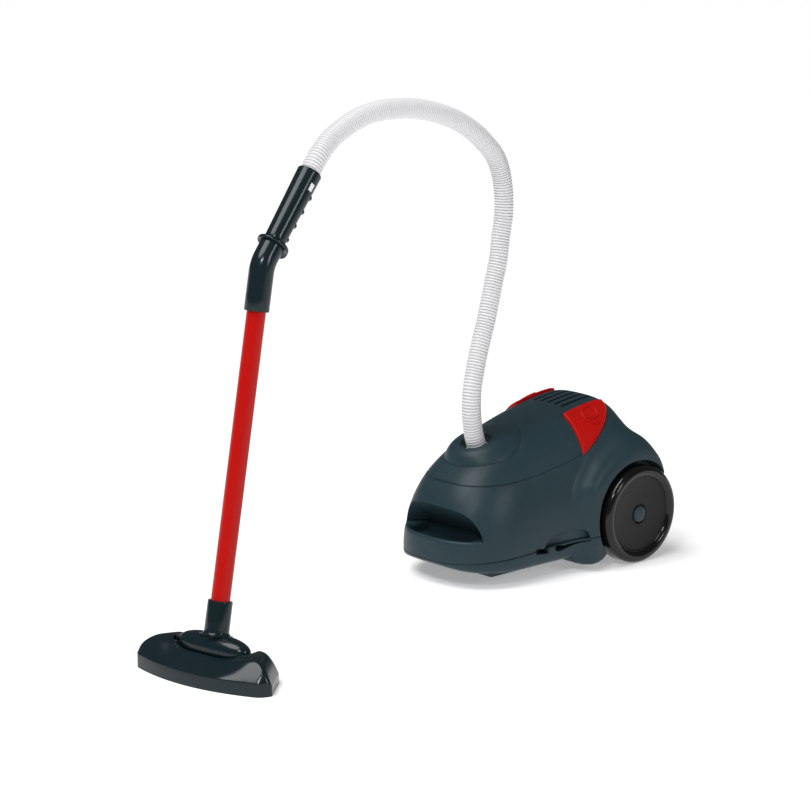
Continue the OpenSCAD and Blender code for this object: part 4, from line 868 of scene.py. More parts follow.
class TOYVAC_OT_hose(bpy.types.Operator):
    """Ribbed hose from the inlet to the grip's mouth"""

    bl_idname = "toy_vacuum.hose"
    bl_label = "Hose"
    LEAD, INLET_SINK, MOUTH_SINK = 0.022, 0.011, 0.004
    RIB_RINGS, SIDES = 6, 28

    def execute(self, context):
        sizes, wand = context.scene.toy_hose, context.scene.toy_wand
        inlet, grip = inlet_frame(), wand_frames()[2]
        start = inlet @ Vector((0, 0, -self.INLET_SINK))
        end = grip @ Vector((0, 0, wand.flange_at + wand.grip_length - self.MOUTH_SINK))
        first, last = inlet.to_3x3() @ Vector((0, 0, 1)), grip.to_3x3() @ Vector((0, 0, 1))
        route = np.array([start, start + first * self.LEAD, *[IN_BODY @ (Vector(p) * MM) for p in HOSE_POINTS],
                          end + last * self.LEAD, end], float)
        spans = len(route) - 1
        slope = np.gradient(route, axis=0)

        def at(f):
            x = np.asarray(f) * spans
            i = np.minimum(spans - 1, np.floor(x).astype(int))
            u = (x - i)[:, None]
            v = 1 - u
            return (route[i] * (1 + 2 * u) * v * v + route[i + 1] * (3 - 2 * u) * u * u
                    + slope[i] * u * v * v - slope[i + 1] * u * u * v)

        fine = at(np.linspace(0, 1, 4001))
        run = np.concatenate([[0], np.cumsum(np.linalg.norm(np.diff(fine, axis=0), axis=1))])
        rings = sizes.ribs * self.RIB_RINGS + 1
        where = np.linspace(0, run[-1], rings)
        centre = np.stack([np.interp(where, run, fine[:, k]) for k in range(3)], 1)
        tangent = np.gradient(centre, axis=0)
        tangent[0], tangent[-1] = first, -last
        tangent /= np.linalg.norm(tangent, axis=1)[:, None]
        across = np.array((end - start).cross(Vector((0, 0, 1))).normalized())
        a = across - tangent * (tangent @ across)[:, None]
        a /= np.linalg.norm(a, axis=1)[:, None]
        b = np.cross(tangent, a)
        phase = np.arange(rings) / self.RIB_RINGS
        sunk = (0.5 + 0.5 * np.cos(2 * math.pi * phase)) ** 1.7
        radius = sizes.diameter / 2 - sizes.groove * sunk
        turns = np.linspace(0, 2 * math.pi, self.SIDES, endpoint=False)
        skin = centre[:, None] + radius[:, None, None] * (
            np.cos(turns)[None, :, None] * a[:, None] + np.sin(turns)[None, :, None] * b[:, None])
        piece = skinned("ribbed_hose", skin)
        co = np.zeros(len(piece.data.vertices) * 3)
        piece.data.vertices.foreach_get("co", co)
        nearest = np.array([np.argmin(np.linalg.norm(centre - p, axis=1)) for p in co.reshape(-1, 3)])
        # groove depth at each point, which the hose's material turns into painted shade in the grooves
        groove = piece.data.attributes.new("groove", "FLOAT", "POINT")
        groove.data.foreach_set("value", sunk[nearest].astype(np.float32))
        dressed(piece, "hose_white", "hose_and_handle", ["hose"], 80)
        return {"FINISHED"}


class TOYVAC_OT_upper_shell(bpy.types.Operator):
    """Upper case with fenders, wheel arches, grip pocket and lead clips"""

    bl_idname = "toy_vacuum.upper_shell"
    bl_label = "Upper shell"
    RIM_ROUND, TROUGH_LIP, SCOOP = 0.0035, 0.006, 0.011
    OPENING, HANG_RISE, HANG_REACH, END_REACH = 0.042, 0.045, 0.037, 0.020

    def pocket_wall(self, x, z, s):
        """The pocket's hollow back wall, which comes forward at its top and ends."""
        low = s.pocket_lip - s.pocket_sink
        side = np.maximum(np.abs(x) - s.pocket_half + s.pocket_corner, 0) / s.pocket_corner
        rise = np.maximum(z - low, 0) / self.HANG_RISE
        return -s.pocket_reach + self.SCOOP - self.HANG_REACH * rise ** 2 - self.END_REACH * side ** 2

    def pocket(self, form, s):
        """The scoop in the nose, with a rounded lip."""
        lip, far = s.pocket_lip, -s.nose_reach - 0.06
        heights = np.linspace(lip, lip + self.OPENING, 36)
        turns = np.linspace(0, math.pi / 2, 7)
        rings = []
        for x in np.linspace(-1, 1, 80) * s.pocket_half:
            wall = self.pocket_wall(x, heights, s)
            edge = min(float(form.front(x, lip - 0.002)), wall[0] - 0.0004)
            r = min((wall[0] - edge) * 0.6, self.RIM_ROUND)
            rim = [(edge + r * (1 - math.cos(a)), lip - r * (1 - math.sin(a))) for a in turns]
            ring = [(far, lip - r), *rim, *zip(wall, heights), (far, heights[-1])]
            rings.append([(x, y, z) for y, z in ring])
        return skinned("pocket", rings)

    def trough(self, form, s):
        """The hollow behind the lip, with a rounded edge."""
        back = -s.pocket_reach + self.SCOOP - 0.002
        lip, floor = s.pocket_lip, s.pocket_lip - s.pocket_sink
        rows = []
        for z, grow in ((floor, -0.004), (floor + 0.0008, -0.0018), (floor + 0.003, 0), (lip - 0.0036, 0),
                        (lip - 0.0018, 0.0005), (lip - 0.0006, 0.0016), (lip, 0.0034), (lip + 0.002, 0.0034)):
            half = s.pocket_half - 0.017 + grow
            x = np.linspace(-half, half, 40)
            front = form.front(x, x * 0 + lip - 0.004) + self.TROUGH_LIP - grow
            front = np.minimum(front, back - 0.0014)
            rows.append([(a, b, z) for a, b in (*zip(x, front), (half, back), (-half, back))])
        return skinned("trough", rows)

    def execute(self, context):
        s, wheels = context.scene.toy_body, context.scene.toy_wheels
        form = BodyForm(s)
        piece = form.shell("upper_case")
        cut(piece, form.shell("hollow", -s.wall, MM, 56, 0.6))
        low = s.pocket_lip - s.pocket_sink - s.wall
        heights = np.linspace(low, s.cover_edge, 12)
        nose = [*zip(self.pocket_wall(0.0, heights, s) + s.wall, heights),
                (-s.nose_reach - 0.01, s.cover_edge), (-s.nose_reach - 0.01, low)]
        wide = s.pocket_half + 0.0065
        backed(piece, form.shell("inside", -s.wall / 2, -0.0003, 56, 0.6), s, wheels, 0.026, 0.052,
               prism("nose_block", nose, "X", -wide, wide))
        cut_arches(piece, s, wheels)
        cut(piece, self.pocket(form, s), self.trough(form, s))
        cut_clips(piece, form)
        cut(piece, *both(lambda: self.dish(form)))
        cut(piece, form.cover_region("opening", 0.0))
        cut(piece, *both(lambda: prism("button_hole", form.button_plan(s.button_gap), "Z", 0.112, 0.2)))
        cut(piece, swept("cover_groove", form.cover_line(), COVER_GROOVE, 12))
        moved(piece, IN_BODY)
        dressed(piece, "shell_satin", "canister", ["upper_shell"])
        return {"FINISHED"}

    def dish(self, form):
        """A shallow finger dish above the lead clip."""
        centre_y, half_y, half_z, deep = -0.096, 0.041, 0.0115, 0.0044
        centre_z = form.seam(centre_y)
        out = float(form.flank(centre_y, centre_z))
        behind, ahead = (float(form.flank(centre_y + side * half_y, centre_z)) for side in (0.7, -0.7))
        flare = math.atan2(behind - ahead, 1.4 * half_y)
        profile = [(max(math.sin(a), 0) * MM, -math.cos(a) * MM) for a in np.linspace(0, math.pi, 25)]
        scale = Matrix.Diagonal((deep / MM, half_y / MM, half_z / MM, 1))
        place = (Matrix.Translation((out + 0.0008, centre_y, centre_z)) @ Matrix.Rotation(-flare, 4, "Z")
                 @ Matrix.Rotation(math.radians(5), 4, "X"))
        return moved(spun("dish", profile, 64), place @ scale)


class TOYVAC_OT_top_cover(bpy.types.Operator):
    """Hood with the inlet's dome and the vent slots"""

    bl_idname = "toy_vacuum.top_cover"
    bl_label = "Top cover"
    SOCKET, RING, LIP, HEAD, CREASE = 0.018, 0.004, 0.0038, 0.030, 0.0006

    def execute(self, context):
        s = context.scene.toy_body
        form = BodyForm(s)
        piece = form.shell("hood")
        shaped(piece, form.cover_region("region", s.cover_gap), "INTERSECT")
        cut(piece, form.shell("hollow", -s.wall, MM, 56, 0.6))
        cut(piece, swept("cover_groove", form.cover_line(), COVER_GROOVE, 12))
        at_inlet = IN_BODY.inverted() @ inlet_frame()
        under = cylinder("under_dome", s.dome_radius - s.wall, -0.045, 0.002)
        cut(piece, moved(under, at_inlet @ Matrix.Translation((0, s.dome_shift, 0))))
        dome, foot = self.dome(form, s, at_inlet)
        shaped(piece, dome, "UNION")
        cut(piece, swept("dome_groove", foot, self.CREASE, 10))
        cut(piece, moved(cylinder("bore", s.inlet_radius - 1e-5, -self.SOCKET + self.RING, self.HEAD), at_inlet))
        for k in range(s.vent_count):
            x = (k - (s.vent_count - 1) / 2) * s.vent_pitch
            half, front, back = s.vent_width / 2, -s.vent_length - s.vent_width / 2, -s.vent_width / 2
            ends = np.linspace(0, math.pi, 9)
            outline = [(x + half * math.cos(a), back - half + half * math.sin(a)) for a in ends]
            outline += [(x - half * math.cos(a), front + half - half * math.sin(a)) for a in ends]
            cut(piece, prism("vent", outline, "Z", s.height * 0.6, s.height * 1.2))
        moved(piece, IN_BODY)
        dressed(piece, "shell_satin", "canister", ["top_cover"])
        return {"FINISHED"}

    def dome(self, form, s, at_inlet):
        """A dome from the inlet's lip down to the hood, which its foot meets all round."""
        angles = np.linspace(0, 2 * math.pi, 160, endpoint=False)
        axes, origin = np.array(at_inlet.to_3x3()), np.array(at_inlet.translation)

        def ring(radius, height, shift=0.0):
            height = np.broadcast_to(height, angles.shape)
            return np.stack([radius * np.cos(angles), shift + radius * np.sin(angles), height], 1) @ axes.T + origin

        back = s.dome_shift

        def sunk(height):
            point = ring(s.dome_radius, height, back)
            return point[:, 2] < form.height(point[:, 0], point[:, 1])

        foot = halved(np.full_like(angles, -0.03), np.full_like(angles, 0.01), sunk, 30)
        lip, r = self.LIP, s.inlet_radius
        turns = np.linspace(0.15, math.pi / 2, 6)
        rows = [ring(r, -self.SOCKET), ring(r, -lip * 0.75)]
        rows += [ring(r + lip * 0.75 * (1 - math.cos(a)), -lip * 0.75 * (1 - math.sin(a))) for a in turns]
        slope = s.dome_radius - r - lip
        rows += [ring(r + lip + slope * q, foot * q ** 2.1, back * q) for q in np.linspace(0, 1, 20)]
        rows += [ring(s.dome_radius, foot - 0.004, back), ring(s.dome_radius - s.wall * 1.4, foot - 0.004, back),
                 ring(r + s.wall + 0.004, -s.wall - 0.0035), ring(r + s.wall, -s.wall - 0.003),
                 ring(r + s.wall, -self.SOCKET), ring(r, -self.SOCKET)]
        crease = ring(s.dome_radius + 0.0002, foot + 0.0001, back)
        return skinned("dome", rows), np.concatenate([crease, crease[:1]])


class TOYVAC_OT_base_pan(bpy.types.Operator):
    """Lower case with belly plate, skids, wheel wells and caster well"""

    bl_idname = "toy_vacuum.base_pan"
    bl_label = "Base pan"
    CASTER, BELLY_HALF, DOOR_GAP, DOOR_DEEP = -0.124, 0.051, 0.0003, 0.0114

    def execute(self, context):
        s, wheels = context.scene.toy_body, context.scene.toy_wheels
        form = BodyForm(s)
        piece = form.pan("lower_case")
        cut(piece, form.pan("hollow", -s.wall, s.wall, 40, 0.6))
        at_caster = Matrix.Translation((0, self.CASTER, 0))
        backed(piece, form.pan("inside", -s.wall / 2, -0.0003, 40, 0.6), s, wheels, 0.018, 0.046,
               moved(cylinder("caster_block", 0.0214, 0, 0.0273, 64), at_caster))
        belly = [(-0.181, 0.0148), (-0.1785, 0.0100), (-0.1760, 0.0092), (-0.054, 0.009), (-0.052, 0.0132)]
        shaped(piece, prism("belly", belly, "X", -self.BELLY_HALF, self.BELLY_HALF), "UNION")
        for lobe in both(lambda: self.lobe(form)):
            shaped(piece, lobe, "UNION")
        cut_arches(piece, s, wheels)
        cut_clips(piece, form)
        cut(piece, moved(spun("caster_well", [(0, 0), (0.0192, 0), (0.019, 0.0249), (0, 0.0249)], 64), at_caster))
        low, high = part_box("battery_door")
        seat = rectangle(low.x - AXLE.x - self.DOOR_GAP, high.x - AXLE.x + self.DOOR_GAP,
                         low.y - AXLE.y - self.DOOR_GAP, high.y - AXLE.y + self.DOOR_GAP)
        cut(piece, prism("door_seat", seat, "Z", 0.0, self.DOOR_DEEP))
        moved(piece, IN_BODY)
        dressed(piece, "shell_satin", "canister", ["base_pan"])
        return {"FINISHED"}

    def lobe(self, form):
        """The rounded foot ahead of a wheel, flush with the flank."""
        y = np.linspace(-0.084, -0.040, 40)
        low = np.interp(y, (-0.084, -0.081, -0.077, -0.071, -0.064, -0.056, -0.050, -0.045, -0.040),
                        (0.0170, 0.0125, 0.0098, 0.0080, 0.0075, 0.0078, 0.0096, 0.0136, 0.0200))
        out = form.radius(form.share(y), 0 * y) - 0.0008
        r, inner, top = 0.007, 0.058, 0.028
        turns = np.linspace(0, math.pi / 2, 10)
        rings = []
        for place, foot, side in zip(y, low, out):
            ring = [(inner, foot), (side - r, foot)]
            ring += [(side - r + r * math.sin(a), foot + r * (1 - math.cos(a))) for a in turns[1:]]
            ring += [(side, top), (inner, top)]
            rings.append([(x, place, z) for x, z in ring])
        return skinned("lobe", rings)


class TOYVAC_OT_buttons(bpy.types.Operator):
    """Red push buttons with a raised curl"""

    bl_idname = "toy_vacuum.buttons"
    bl_label = "Buttons"
    ROUND, THICK = 0.0017, 0.0065
    CURL_X, CURL_Y, CURL_STEPS, CURL_REACH, CURL_BULK = 0.0465, -0.0285, 110, (0.0046, 0.0105), (0.0004, 0.0015)

    def execute(self, context):
        s = context.scene.toy_body
        form = BodyForm(s)
        plan = form.button_plan(0.0, 180, 5)
        centre = plan.mean(0)
        normal = np.roll(plan, -1, 0) - np.roll(plan, 1, 0)
        normal = np.stack([normal[:, 1], -normal[:, 0]], 1)
        normal /= np.linalg.norm(normal, axis=1)[:, None]
        rows = []

        def row(points, drop):
            z = form.height(points[:, 0], points[:, 1]) + s.button_raise - drop
            rows.append(np.stack([points[:, 0], points[:, 1], z], 1))

        for q in np.linspace(0.02, 0.9, 6):
            row(centre + (plan - centre) * q, self.THICK)
        row(plan, self.THICK)
        for a in np.linspace(0, math.pi / 2, 7):
            row(plan - normal * self.ROUND * (1 - math.cos(a)), self.ROUND * (1 - math.sin(a)))
        rim = plan - normal * self.ROUND
        for q in np.linspace(0.97, 0.02, 26):
            row(centre + (rim - centre) * q, 0.0)
        button = skinned("left_push_button", rows)
        turns = np.linspace(math.radians(-60), math.radians(400), self.CURL_STEPS)
        reach = np.linspace(*self.CURL_REACH, self.CURL_STEPS)
        x, y = self.CURL_X + reach * np.cos(turns) * 0.95, self.CURL_Y + reach * np.sin(turns) * 1.25
        path = np.stack([x, y, form.height(x, y) + s.button_raise], 1)
        steps, (thin, full) = np.arange(self.CURL_STEPS), self.CURL_BULK
        curl = swept("curl", path, np.interp(steps, [0, 8, 98, steps[-1]], [thin, full, full, thin]), 12, 0.6)
        low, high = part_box("left_button_spring")
        foot, seat = low.z - 0.0048, high.z
        profile = [(0, foot), (0.003, foot), (0.003, seat), (0.0096, seat), (0.0096, seat + 0.0055),
                   (0.004, seat + 0.0065), (0.003, seat + 0.013), (0, seat + 0.013)]
        at_spring = Matrix.Translation(((low.x + high.x) / 2 - AXLE.x, (low.y + high.y) / 2 - AXLE.y, 0))
        stem = moved(spun("stem", profile, 40), at_spring)
        joined(button, curl, stem)
        other = twin(button, "right_push_button", MIRROR)
        for piece, side in ((button, "left"), (other, "right")):
            moved(piece, IN_BODY)
            dressed(piece, "red_satin", side + "_button", [side + "_button"], 40)
        return {"FINISHED"}


class TOYVAC_OT_springs(bpy.types.Operator):
    """Coiled return springs below the buttons"""

    bl_idname = "toy_vacuum.springs"
    bl_label = "Springs"
    WIRE, TURNS, TRAVEL = 0.00045, 6, 0.0025

    def execute(self, context):
        for side in ("left", "right"):
            low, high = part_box(side + "_button_spring")
            turns = np.linspace(0, 2 * math.pi * self.TURNS, self.TURNS * 40 + 1)
            reach = (high.x - low.x) / 2 - self.WIRE
            foot, head = low.z + self.WIRE, high.z - self.WIRE
            x, y = (low.x + high.x) / 2 + reach * np.cos(turns), (low.y + high.y) / 2 + reach * np.sin(turns)
            path = np.stack([x, y, foot + (head - foot) * turns / turns[-1]], 1)
            coil = swept(side + "_coil", path, self.WIRE, 12)
            dressed(coil, "drawn_steel", "canister", [side + "_button_spring"], 60)
            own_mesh(coil)
        return {"FINISHED"}


class TOYVAC_OT_wheels(bpy.types.Operator):
    """Rear wheels with a rounded rim and sunk disc, and their hub caps"""

    bl_idname = "toy_vacuum.wheels"
    bl_label = "Wheels"
    BORE, CAP_BORE, BEAD = 0.00255, 0.00252, 0.0058

    def execute(self, context):
        w = context.scene.toy_wheels
        inner, disc = w.face - w.width, w.face - w.disc_sink
        rim, back, seat = w.radius - 0.008, disc - 0.004, w.cap_radius + 0.0016
        profile = [(self.BORE, inner - 0.003), (0.009, inner - 0.003), (0.009, back), (rim, back), (rim, inner),
                   (w.radius - 0.002, inner), (w.radius - 0.0006, inner + 0.0006), (w.radius, inner + 0.002),
                   (w.radius, w.face - self.BEAD)]
        round_r = (w.radius - w.disc_radius) / 2
        crown, last = w.radius - round_r, math.pi - 0.35
        profile += [(crown + round_r * math.cos(a), w.face - self.BEAD + self.BEAD * math.sin(a))
                    for a in np.linspace(0.12, last, 18)]
        foot = crown + round_r * math.cos(last)
        profile += [(foot - 0.0004, disc + 0.0012), (foot - 0.0012, disc + 0.0003), (foot - 0.0022, disc),
                    (seat + 0.0006, disc), (seat, disc - 0.0005), (seat, disc - 0.003), (self.BORE, disc - 0.003),
                    profile[0]]
        wheel = moved(spun("left_rear_wheel", profile, 144), along_x(w.radius))
        wheel.data.materials.append(material("rim_gloss"))
        wheel.data.materials.append(material("disc_satin"))
        for polygon in wheel.data.polygons:
            if math.hypot(polygon.center.y, polygon.center.z - w.radius) < foot - 0.0008:
                polygon.material_index = 1
        r, low, sunk = w.cap_radius, disc - 0.0026, disc - 0.00078
        profile = [(self.CAP_BORE, low), (r - 0.0006, low), (r, disc - 0.002), (r, disc + 0.0001),
                   (r - 0.0003, disc + 0.0007), (r - 0.001, disc + 0.0010), (r * 0.5, disc + 0.0013),
                   (0, disc + 0.0014), (0, sunk), (self.CAP_BORE, sunk), (self.CAP_BORE, low)]
        cap = moved(spun("left_hub_button", profile, 96), along_x(w.radius))
        for piece, node, body, finish, slot in (
                (wheel, "wheel", "left_wheel", "rim_gloss", "wheel_plastic"),
                (cap, "hub_cap", "canister", "shell_satin", "shell_plastic")):
            other = twin(piece, piece.name.replace("left", "right"), MIRROR)
            for side, each in (("left", piece), ("right", other)):
                moved(each, IN_BODY)
                dressed(each, finish, body.replace("left", side), [f"{side}_{node}"], 35)
        return {"FINISHED"}


class TOYVAC_OT_handle(bpy.types.Operator):
    """Grip with finger ridges, and the elbow with its finger flange"""

    bl_idname = "toy_vacuum.handle"
    bl_label = "Handle"
    WINDOW = Matrix.Rotation(math.radians(-4), 4, "Z")
    STOP, DROOP, CORE = 0.0030, 0.0034, 0.006
    MOUTH, MOUTH_DEEP, CUFF_BORE = 0.0106, 0.024, 0.0091
    RIDGE_FROM, RIDGE_BULK, RIDGE_SINK = 0.009, 0.0022, 0.0004

    def execute(self, context):
        w = context.scene.toy_wand
        rod, at_grip = wand_frames()[1:]
        self.elbow(w, rod)
        self.grip(w, at_grip)
        return {"FINISHED"}

    def elbow(self, w, rod):
        r, run = w.socket_diameter / 2, bend_run(w)
        low, start = w.bend_at - w.socket_length, w.bend_at - run
        path = [(0, 0, low + rise) for rise in (0, 0.0002, 0.0007, 0.012)]
        path += [(0, w.bend_radius * (1 - math.cos(a)), start + w.bend_radius * math.sin(a))
                 for a in np.linspace(0, w.bend, 22)]
        top, lean = Vector(path[-1]), Vector((0, math.sin(w.bend), math.cos(w.bend)))
        path += [tuple(top + lean * (w.flange_at - run - w.flange_thickness * 0.5) * step)
                 for step in np.linspace(0.1, 1, 8)]
        radii = [r - 0.0007, r - 0.0002] + [r] * (len(path) - 2)
        body = swept("elbow_bend", path, radii, 64, up=(1, 0, 0))
        angles = np.linspace(0, 2 * math.pi, 96, endpoint=False)
        under = np.maximum(0, np.sin(angles))
        reach = w.flange_diameter / 2 + self.STOP * under ** 3
        t, rows = w.flange_thickness, []

        def row(radius, z):
            rows.append(np.stack([radius * np.cos(angles), radius * np.sin(angles), w.flange_at + z + 0 * angles], 1))

        row(self.CORE, -t * 0.55)
        for inset, z in ((-0.0060, -t * 0.55), (-0.0008, -t), (-0.0002, -t * 0.85), (0, -t * 0.5),
                         (-0.0002, -t * 0.15), (-0.0008, 0), (-0.0060, 0)):
            share = np.clip((reach + inset - r) / (reach - r), 0, 1)
            row(reach + inset, z - self.DROOP * under ** 6 * share ** 2)
        row(self.CORE, 0)
        tilt = Matrix.Translation((0, 0, w.bend_at)) @ Matrix.Rotation(-w.bend, 4, "X")
        shaped(body, moved(skinned("flange", rows), tilt), "UNION")
        cut(body, cylinder("bore", w.tube_diameter / 2 + 0.0004, low - 0.002, start - 0.004, 64))
        moved(body, rod)
        dressed(named(body, "elbow_moulding"), "dark_gloss", "hose_and_handle", ["elbow"], 40)

    def grip(self, w, at_grip):
        low, high = w.flange_at + 0.0001, w.flange_at + w.grip_length
        r0, r1 = w.grip_diameter / 2, w.mouth_diameter / 2
        mouth, deep = self.MOUTH, high - self.MOUTH_DEEP
        profile = [(0, low), (r0 - 0.0006, low), (r0, low + 0.0008)]
        profile += [(r0 + (r1 - r0) * f, low + (high - low) * f) for f in np.linspace(0.06, 0.97, 24)]
        profile += [(r1, high - 0.0010), (r1 - 0.0003, high - 0.0003), (r1 - 0.0010, high), (mouth + 0.0005, high),
                    (mouth, high - 0.0005), (mouth, deep), (0, deep)]
        piece = spun("grip_handle", profile, 96)
        turns = np.radians(np.linspace(24, 156, 33))
        bulk = np.sqrt(np.clip(1 - (np.abs(np.degrees(turns) - 90) / 66.5) ** 4, 0.01, 1)) * self.RIDGE_BULK
        for k in range(w.ridges):
            z = w.flange_at + self.RIDGE_FROM + k * w.ridge_pitch
            radius = r0 + (r1 - r0) * (z - low) / (high - low) - self.RIDGE_SINK
            path = np.stack([np.cos(turns), np.sin(turns), 0 * turns], 1) * radius + (0, 0, z)
            shaped(piece, swept("ridge", path, bulk, 20), "UNION")
        window = prism("window", rectangle(0.006, 0.02, -0.003, 0.003), "Z", high - 0.021, high - 0.012)
        cut(piece, moved(window, self.WINDOW))
        moved(piece, at_grip)
        dressed(piece, "dark_gloss", "hose_and_handle", ["grip"], 40)
        inner, outer, foot, head = self.CUFF_BORE, mouth - 0.0001, high - 0.023, high - 0.0004
        cuff = spun("hose_end", [(inner, foot), (outer, foot), (outer, head - 0.0004), (outer - 0.0004, head),
                                 (inner, head), (inner, foot)], 80)
        tab = [(0.0100, -0.0024), (r1 - 0.0006, -0.0024), (r1 - 0.0002, -0.0018), (r1 - 0.0002, 0.0018),
               (r1 - 0.0006, 0.0024), (0.0100, 0.0024)]
        tab = prism("tab", tab, "Z", high - 0.0204, high - 0.0126)
        shaped(cuff, moved(tab, self.WINDOW), "UNION")
        moved(cuff, at_grip)
        dressed(cuff, "white_satin", "hose_and_handle", ["grip_cuff"], 40)


DRUM_POWER = 2.6


def oval(f):
    """Half height of the drum's rounded outline at a share of its half length."""
    return np.maximum(0, 1 - np.abs(f) ** DRUM_POWER) ** (1 / DRUM_POWER)


def drum(name, n, grow, longer=0.0):
    """The oval drum about its pin, grown for a cutter."""
    shares = np.sin(np.linspace(-math.pi / 2, math.pi / 2, 49))
    rows = [((n.drum_radius + grow) * oval(f), (n.drum_half + longer + grow) * f) for f in shares]
    rows[0], rows[-1] = (0, rows[0][1]), (0, rows[-1][1])
    return moved(spun(name, rows, 96), along_x())


class TOYVAC_OT_wand(bpy.types.Operator):
    """Straight red tube, and the neck with its oval pivot drum"""

    bl_idname = "toy_vacuum.wand"
    bl_label = "Wand"
    TUBE_FOOT, PIN_RADIUS = 0.01702, 0.00205

    def execute(self, context):
        w, n = context.scene.toy_wand, context.scene.toy_nozzle
        rod = wand_frames()[1]
        r, low, high = w.tube_diameter / 2, self.TUBE_FOOT, w.bend_at - bend_run(w) - 0.002
        thin = r - w.tube_wall
        tube = spun("straight_tube", [
            (thin, low), (r - 0.0004, low), (r, low + 0.0004), (r, low + 0.1), (r, low + 0.2), (r, high - 0.0004),
            (r - 0.0004, high), (thin, high), (thin, low)], 80)
        moved(tube, rod)
        dressed(tube, "red_gloss", "wand", ["wand_tube"], 40)
        neck = drum("neck_moulding", n, 0.0)
        s, top = w.socket_diameter / 2, n.neck_length
        rows = [(0, -0.004), (s, -0.004), (s, 0.008)]
        rows += [(s + 0.0038 * (1 - math.sin(a)), 0.0118 + 0.0042 * (1 - math.cos(a)))
                 for a in np.linspace(0, math.pi / 2, 8)]
        rows += [(s, 0.019), (s - 0.0001, top - 0.0008), (s - 0.0003, top - 0.0002), (s - 0.0009, top), (0, top)]
        shaped(neck, spun("neck_socket", rows, 96), "UNION")
        cut(neck, cylinder("bore", w.tube_diameter / 2 + 0.0005, 0.0168, top + 0.004, 80))
        cut(neck, moved(cylinder("pin_bore", self.PIN_RADIUS, -0.05, 0.05, 48), along_x()))
        moved(neck, rod)
        dressed(neck, "dark_gloss", "wand", ["neck"], 40)
        return {"FINISHED"}


class TOYVAC_OT_nozzle(bpy.types.Operator):
    """Floor nozzle with its swept front, end slopes and drum recess"""

    bl_idname = "toy_vacuum.nozzle"
    bl_label = "Nozzle"
    BACK_SHARE, END_RUN, END_POWER, REAR, SOFT, SADDLE = 0.75, 0.019, 1.9, 0.014, 0.0060, 0.0056
    TIP_ROUND, TIP_FROM, END_ROOM, RIM_OUT, RIM_LINE = 0.008, 0.88, 0.003, 0.0022, 0.0006
    HUMP_FROM, HUMP_RUN = 0.22, 0.52

    def edges(self, n, share, inset):
        """Front and back edge across the nozzle."""
        corner = self.TIP_ROUND * np.clip((np.abs(share) - self.TIP_FROM) / (1 - self.TIP_FROM), 0, 1) ** 2
        front = n.sweep * share ** 2 - n.front + inset + corner
        tip = n.sweep - n.front + inset + self.TIP_ROUND
        f = np.clip((np.abs(share) - self.BACK_SHARE) / (1 - self.BACK_SHARE), 0, 1)
        return front, (n.back - inset) * (1 - f) + tip * f

    def top(self, n, x, y):
        """The lowest of a front slope, a slope to each end and a rounded back, softly blended."""
        tip = n.sweep - n.front + self.TIP_ROUND
        run, deep = n.half_length * (1 - self.BACK_SHARE), n.back - tip
        end = ((n.half_length - np.abs(x)) * deep - (y - tip) * run) / math.hypot(run, deep)
        front = y - self.edges(n, x / n.half_length, 0.0)[0]
        ended = 1 - (1 - np.clip(end / self.END_RUN, 0, 1)) ** self.END_POWER
        hump = smooth((np.abs(x) / n.half_length - self.HUMP_FROM) / self.HUMP_RUN)
        crest = n.height - self.SADDLE * (1 - hump)
        crown = 1 - (1 - np.clip(front / (n.front * (0.9 - 0.24 * hump)), 0, 1)) ** (1.25 + 0.45 * hump)
        slopes = [n.wall_height + (crest - n.wall_height) * crown,
                  n.end_height + (n.height - n.end_height) * ended,
                  n.height * np.sqrt(1 - (1 - np.clip((n.back - y) / self.REAR, 0, 1)) ** 2)]
        best = slopes[0]
        for other in slopes[1:]:
            d = np.maximum(self.SOFT - np.abs(best - other), 0) / self.SOFT
            best = np.minimum(best, other) - d * d * self.SOFT / 4
        return np.maximum(best, 0.0004)

    def form(self, n, name, inset, drop, stations, steps):
        shares = np.sin(np.linspace(-0.5, 0.5, stations) * math.pi) * 0.992
        depth = np.concatenate([[0.004, 0.012], np.linspace(0.025, 0.975, steps), [0.988, 0.996]])
        rings = []
        for share in shares:
            x = share * (n.half_length - inset * 2)
            front, back = self.edges(n, share, inset)
            y = front + (back - front) * depth
            z = self.top(n, x, y) - inset * 1.3
            ring = [(x, front, -drop), (x, front, z[0] * 0.5), (x, front, z[0] - 0.0006), *zip(x + 0 * y, y, z)]
            rings.append([*ring, (x, back, min(z[-1] * 0.5, 0.002)), (x, back, -drop)])
        return skinned(name, rings)

    def execute(self, context):
        n, wall = context.scene.toy_nozzle, context.scene.toy_body.wall
        foot = wand_frames()[0]
        piece = self.form(n, "floor_nozzle", 0.0, 0.0, 121, 72)
        hollow = self.form(n, "hollow", wall, MM, 41, 24)
        for part in self.recess(n, n.drum_gap + wall):
            shaped(hollow, part, "DIFFERENCE")
        cut(piece, hollow, *self.recess(n, n.drum_gap))
        turns = np.linspace(-1.45, 1.45, 121)
        f, reach = np.sin(turns), n.drum_gap + self.RIM_OUT
        x, y = (n.drum_half + self.END_ROOM + reach) * f, -(n.drum_radius + reach) * oval(f)
        cut(piece, swept("rim_line", np.stack([x, y, self.top(n, x, y) + 0.0001], 1), self.RIM_LINE, 10))
        moved(piece, foot)
        dressed(piece, "dark_gloss", "nozzle", ["nozzle_shell"], 30)
        return {"FINISHED"}

    def recess(self, n, grow):
        """The drum's room, open towards the back."""
        place = Matrix.Translation((0, 0, PIVOT.z))
        room = moved(drum("room", n, grow, self.END_ROOM), place)
        outline = []
        for a in np.linspace(0, 2 * math.pi, 97)[:-1]:
            f = math.sin(a)
            outline.append(((n.drum_half + self.END_ROOM + grow) * f,
                            (n.drum_radius + grow) * math.copysign(oval(f), math.cos(a))))
        return room, moved(prism("way", outline, "Y", 0.0, n.back * 2), place)


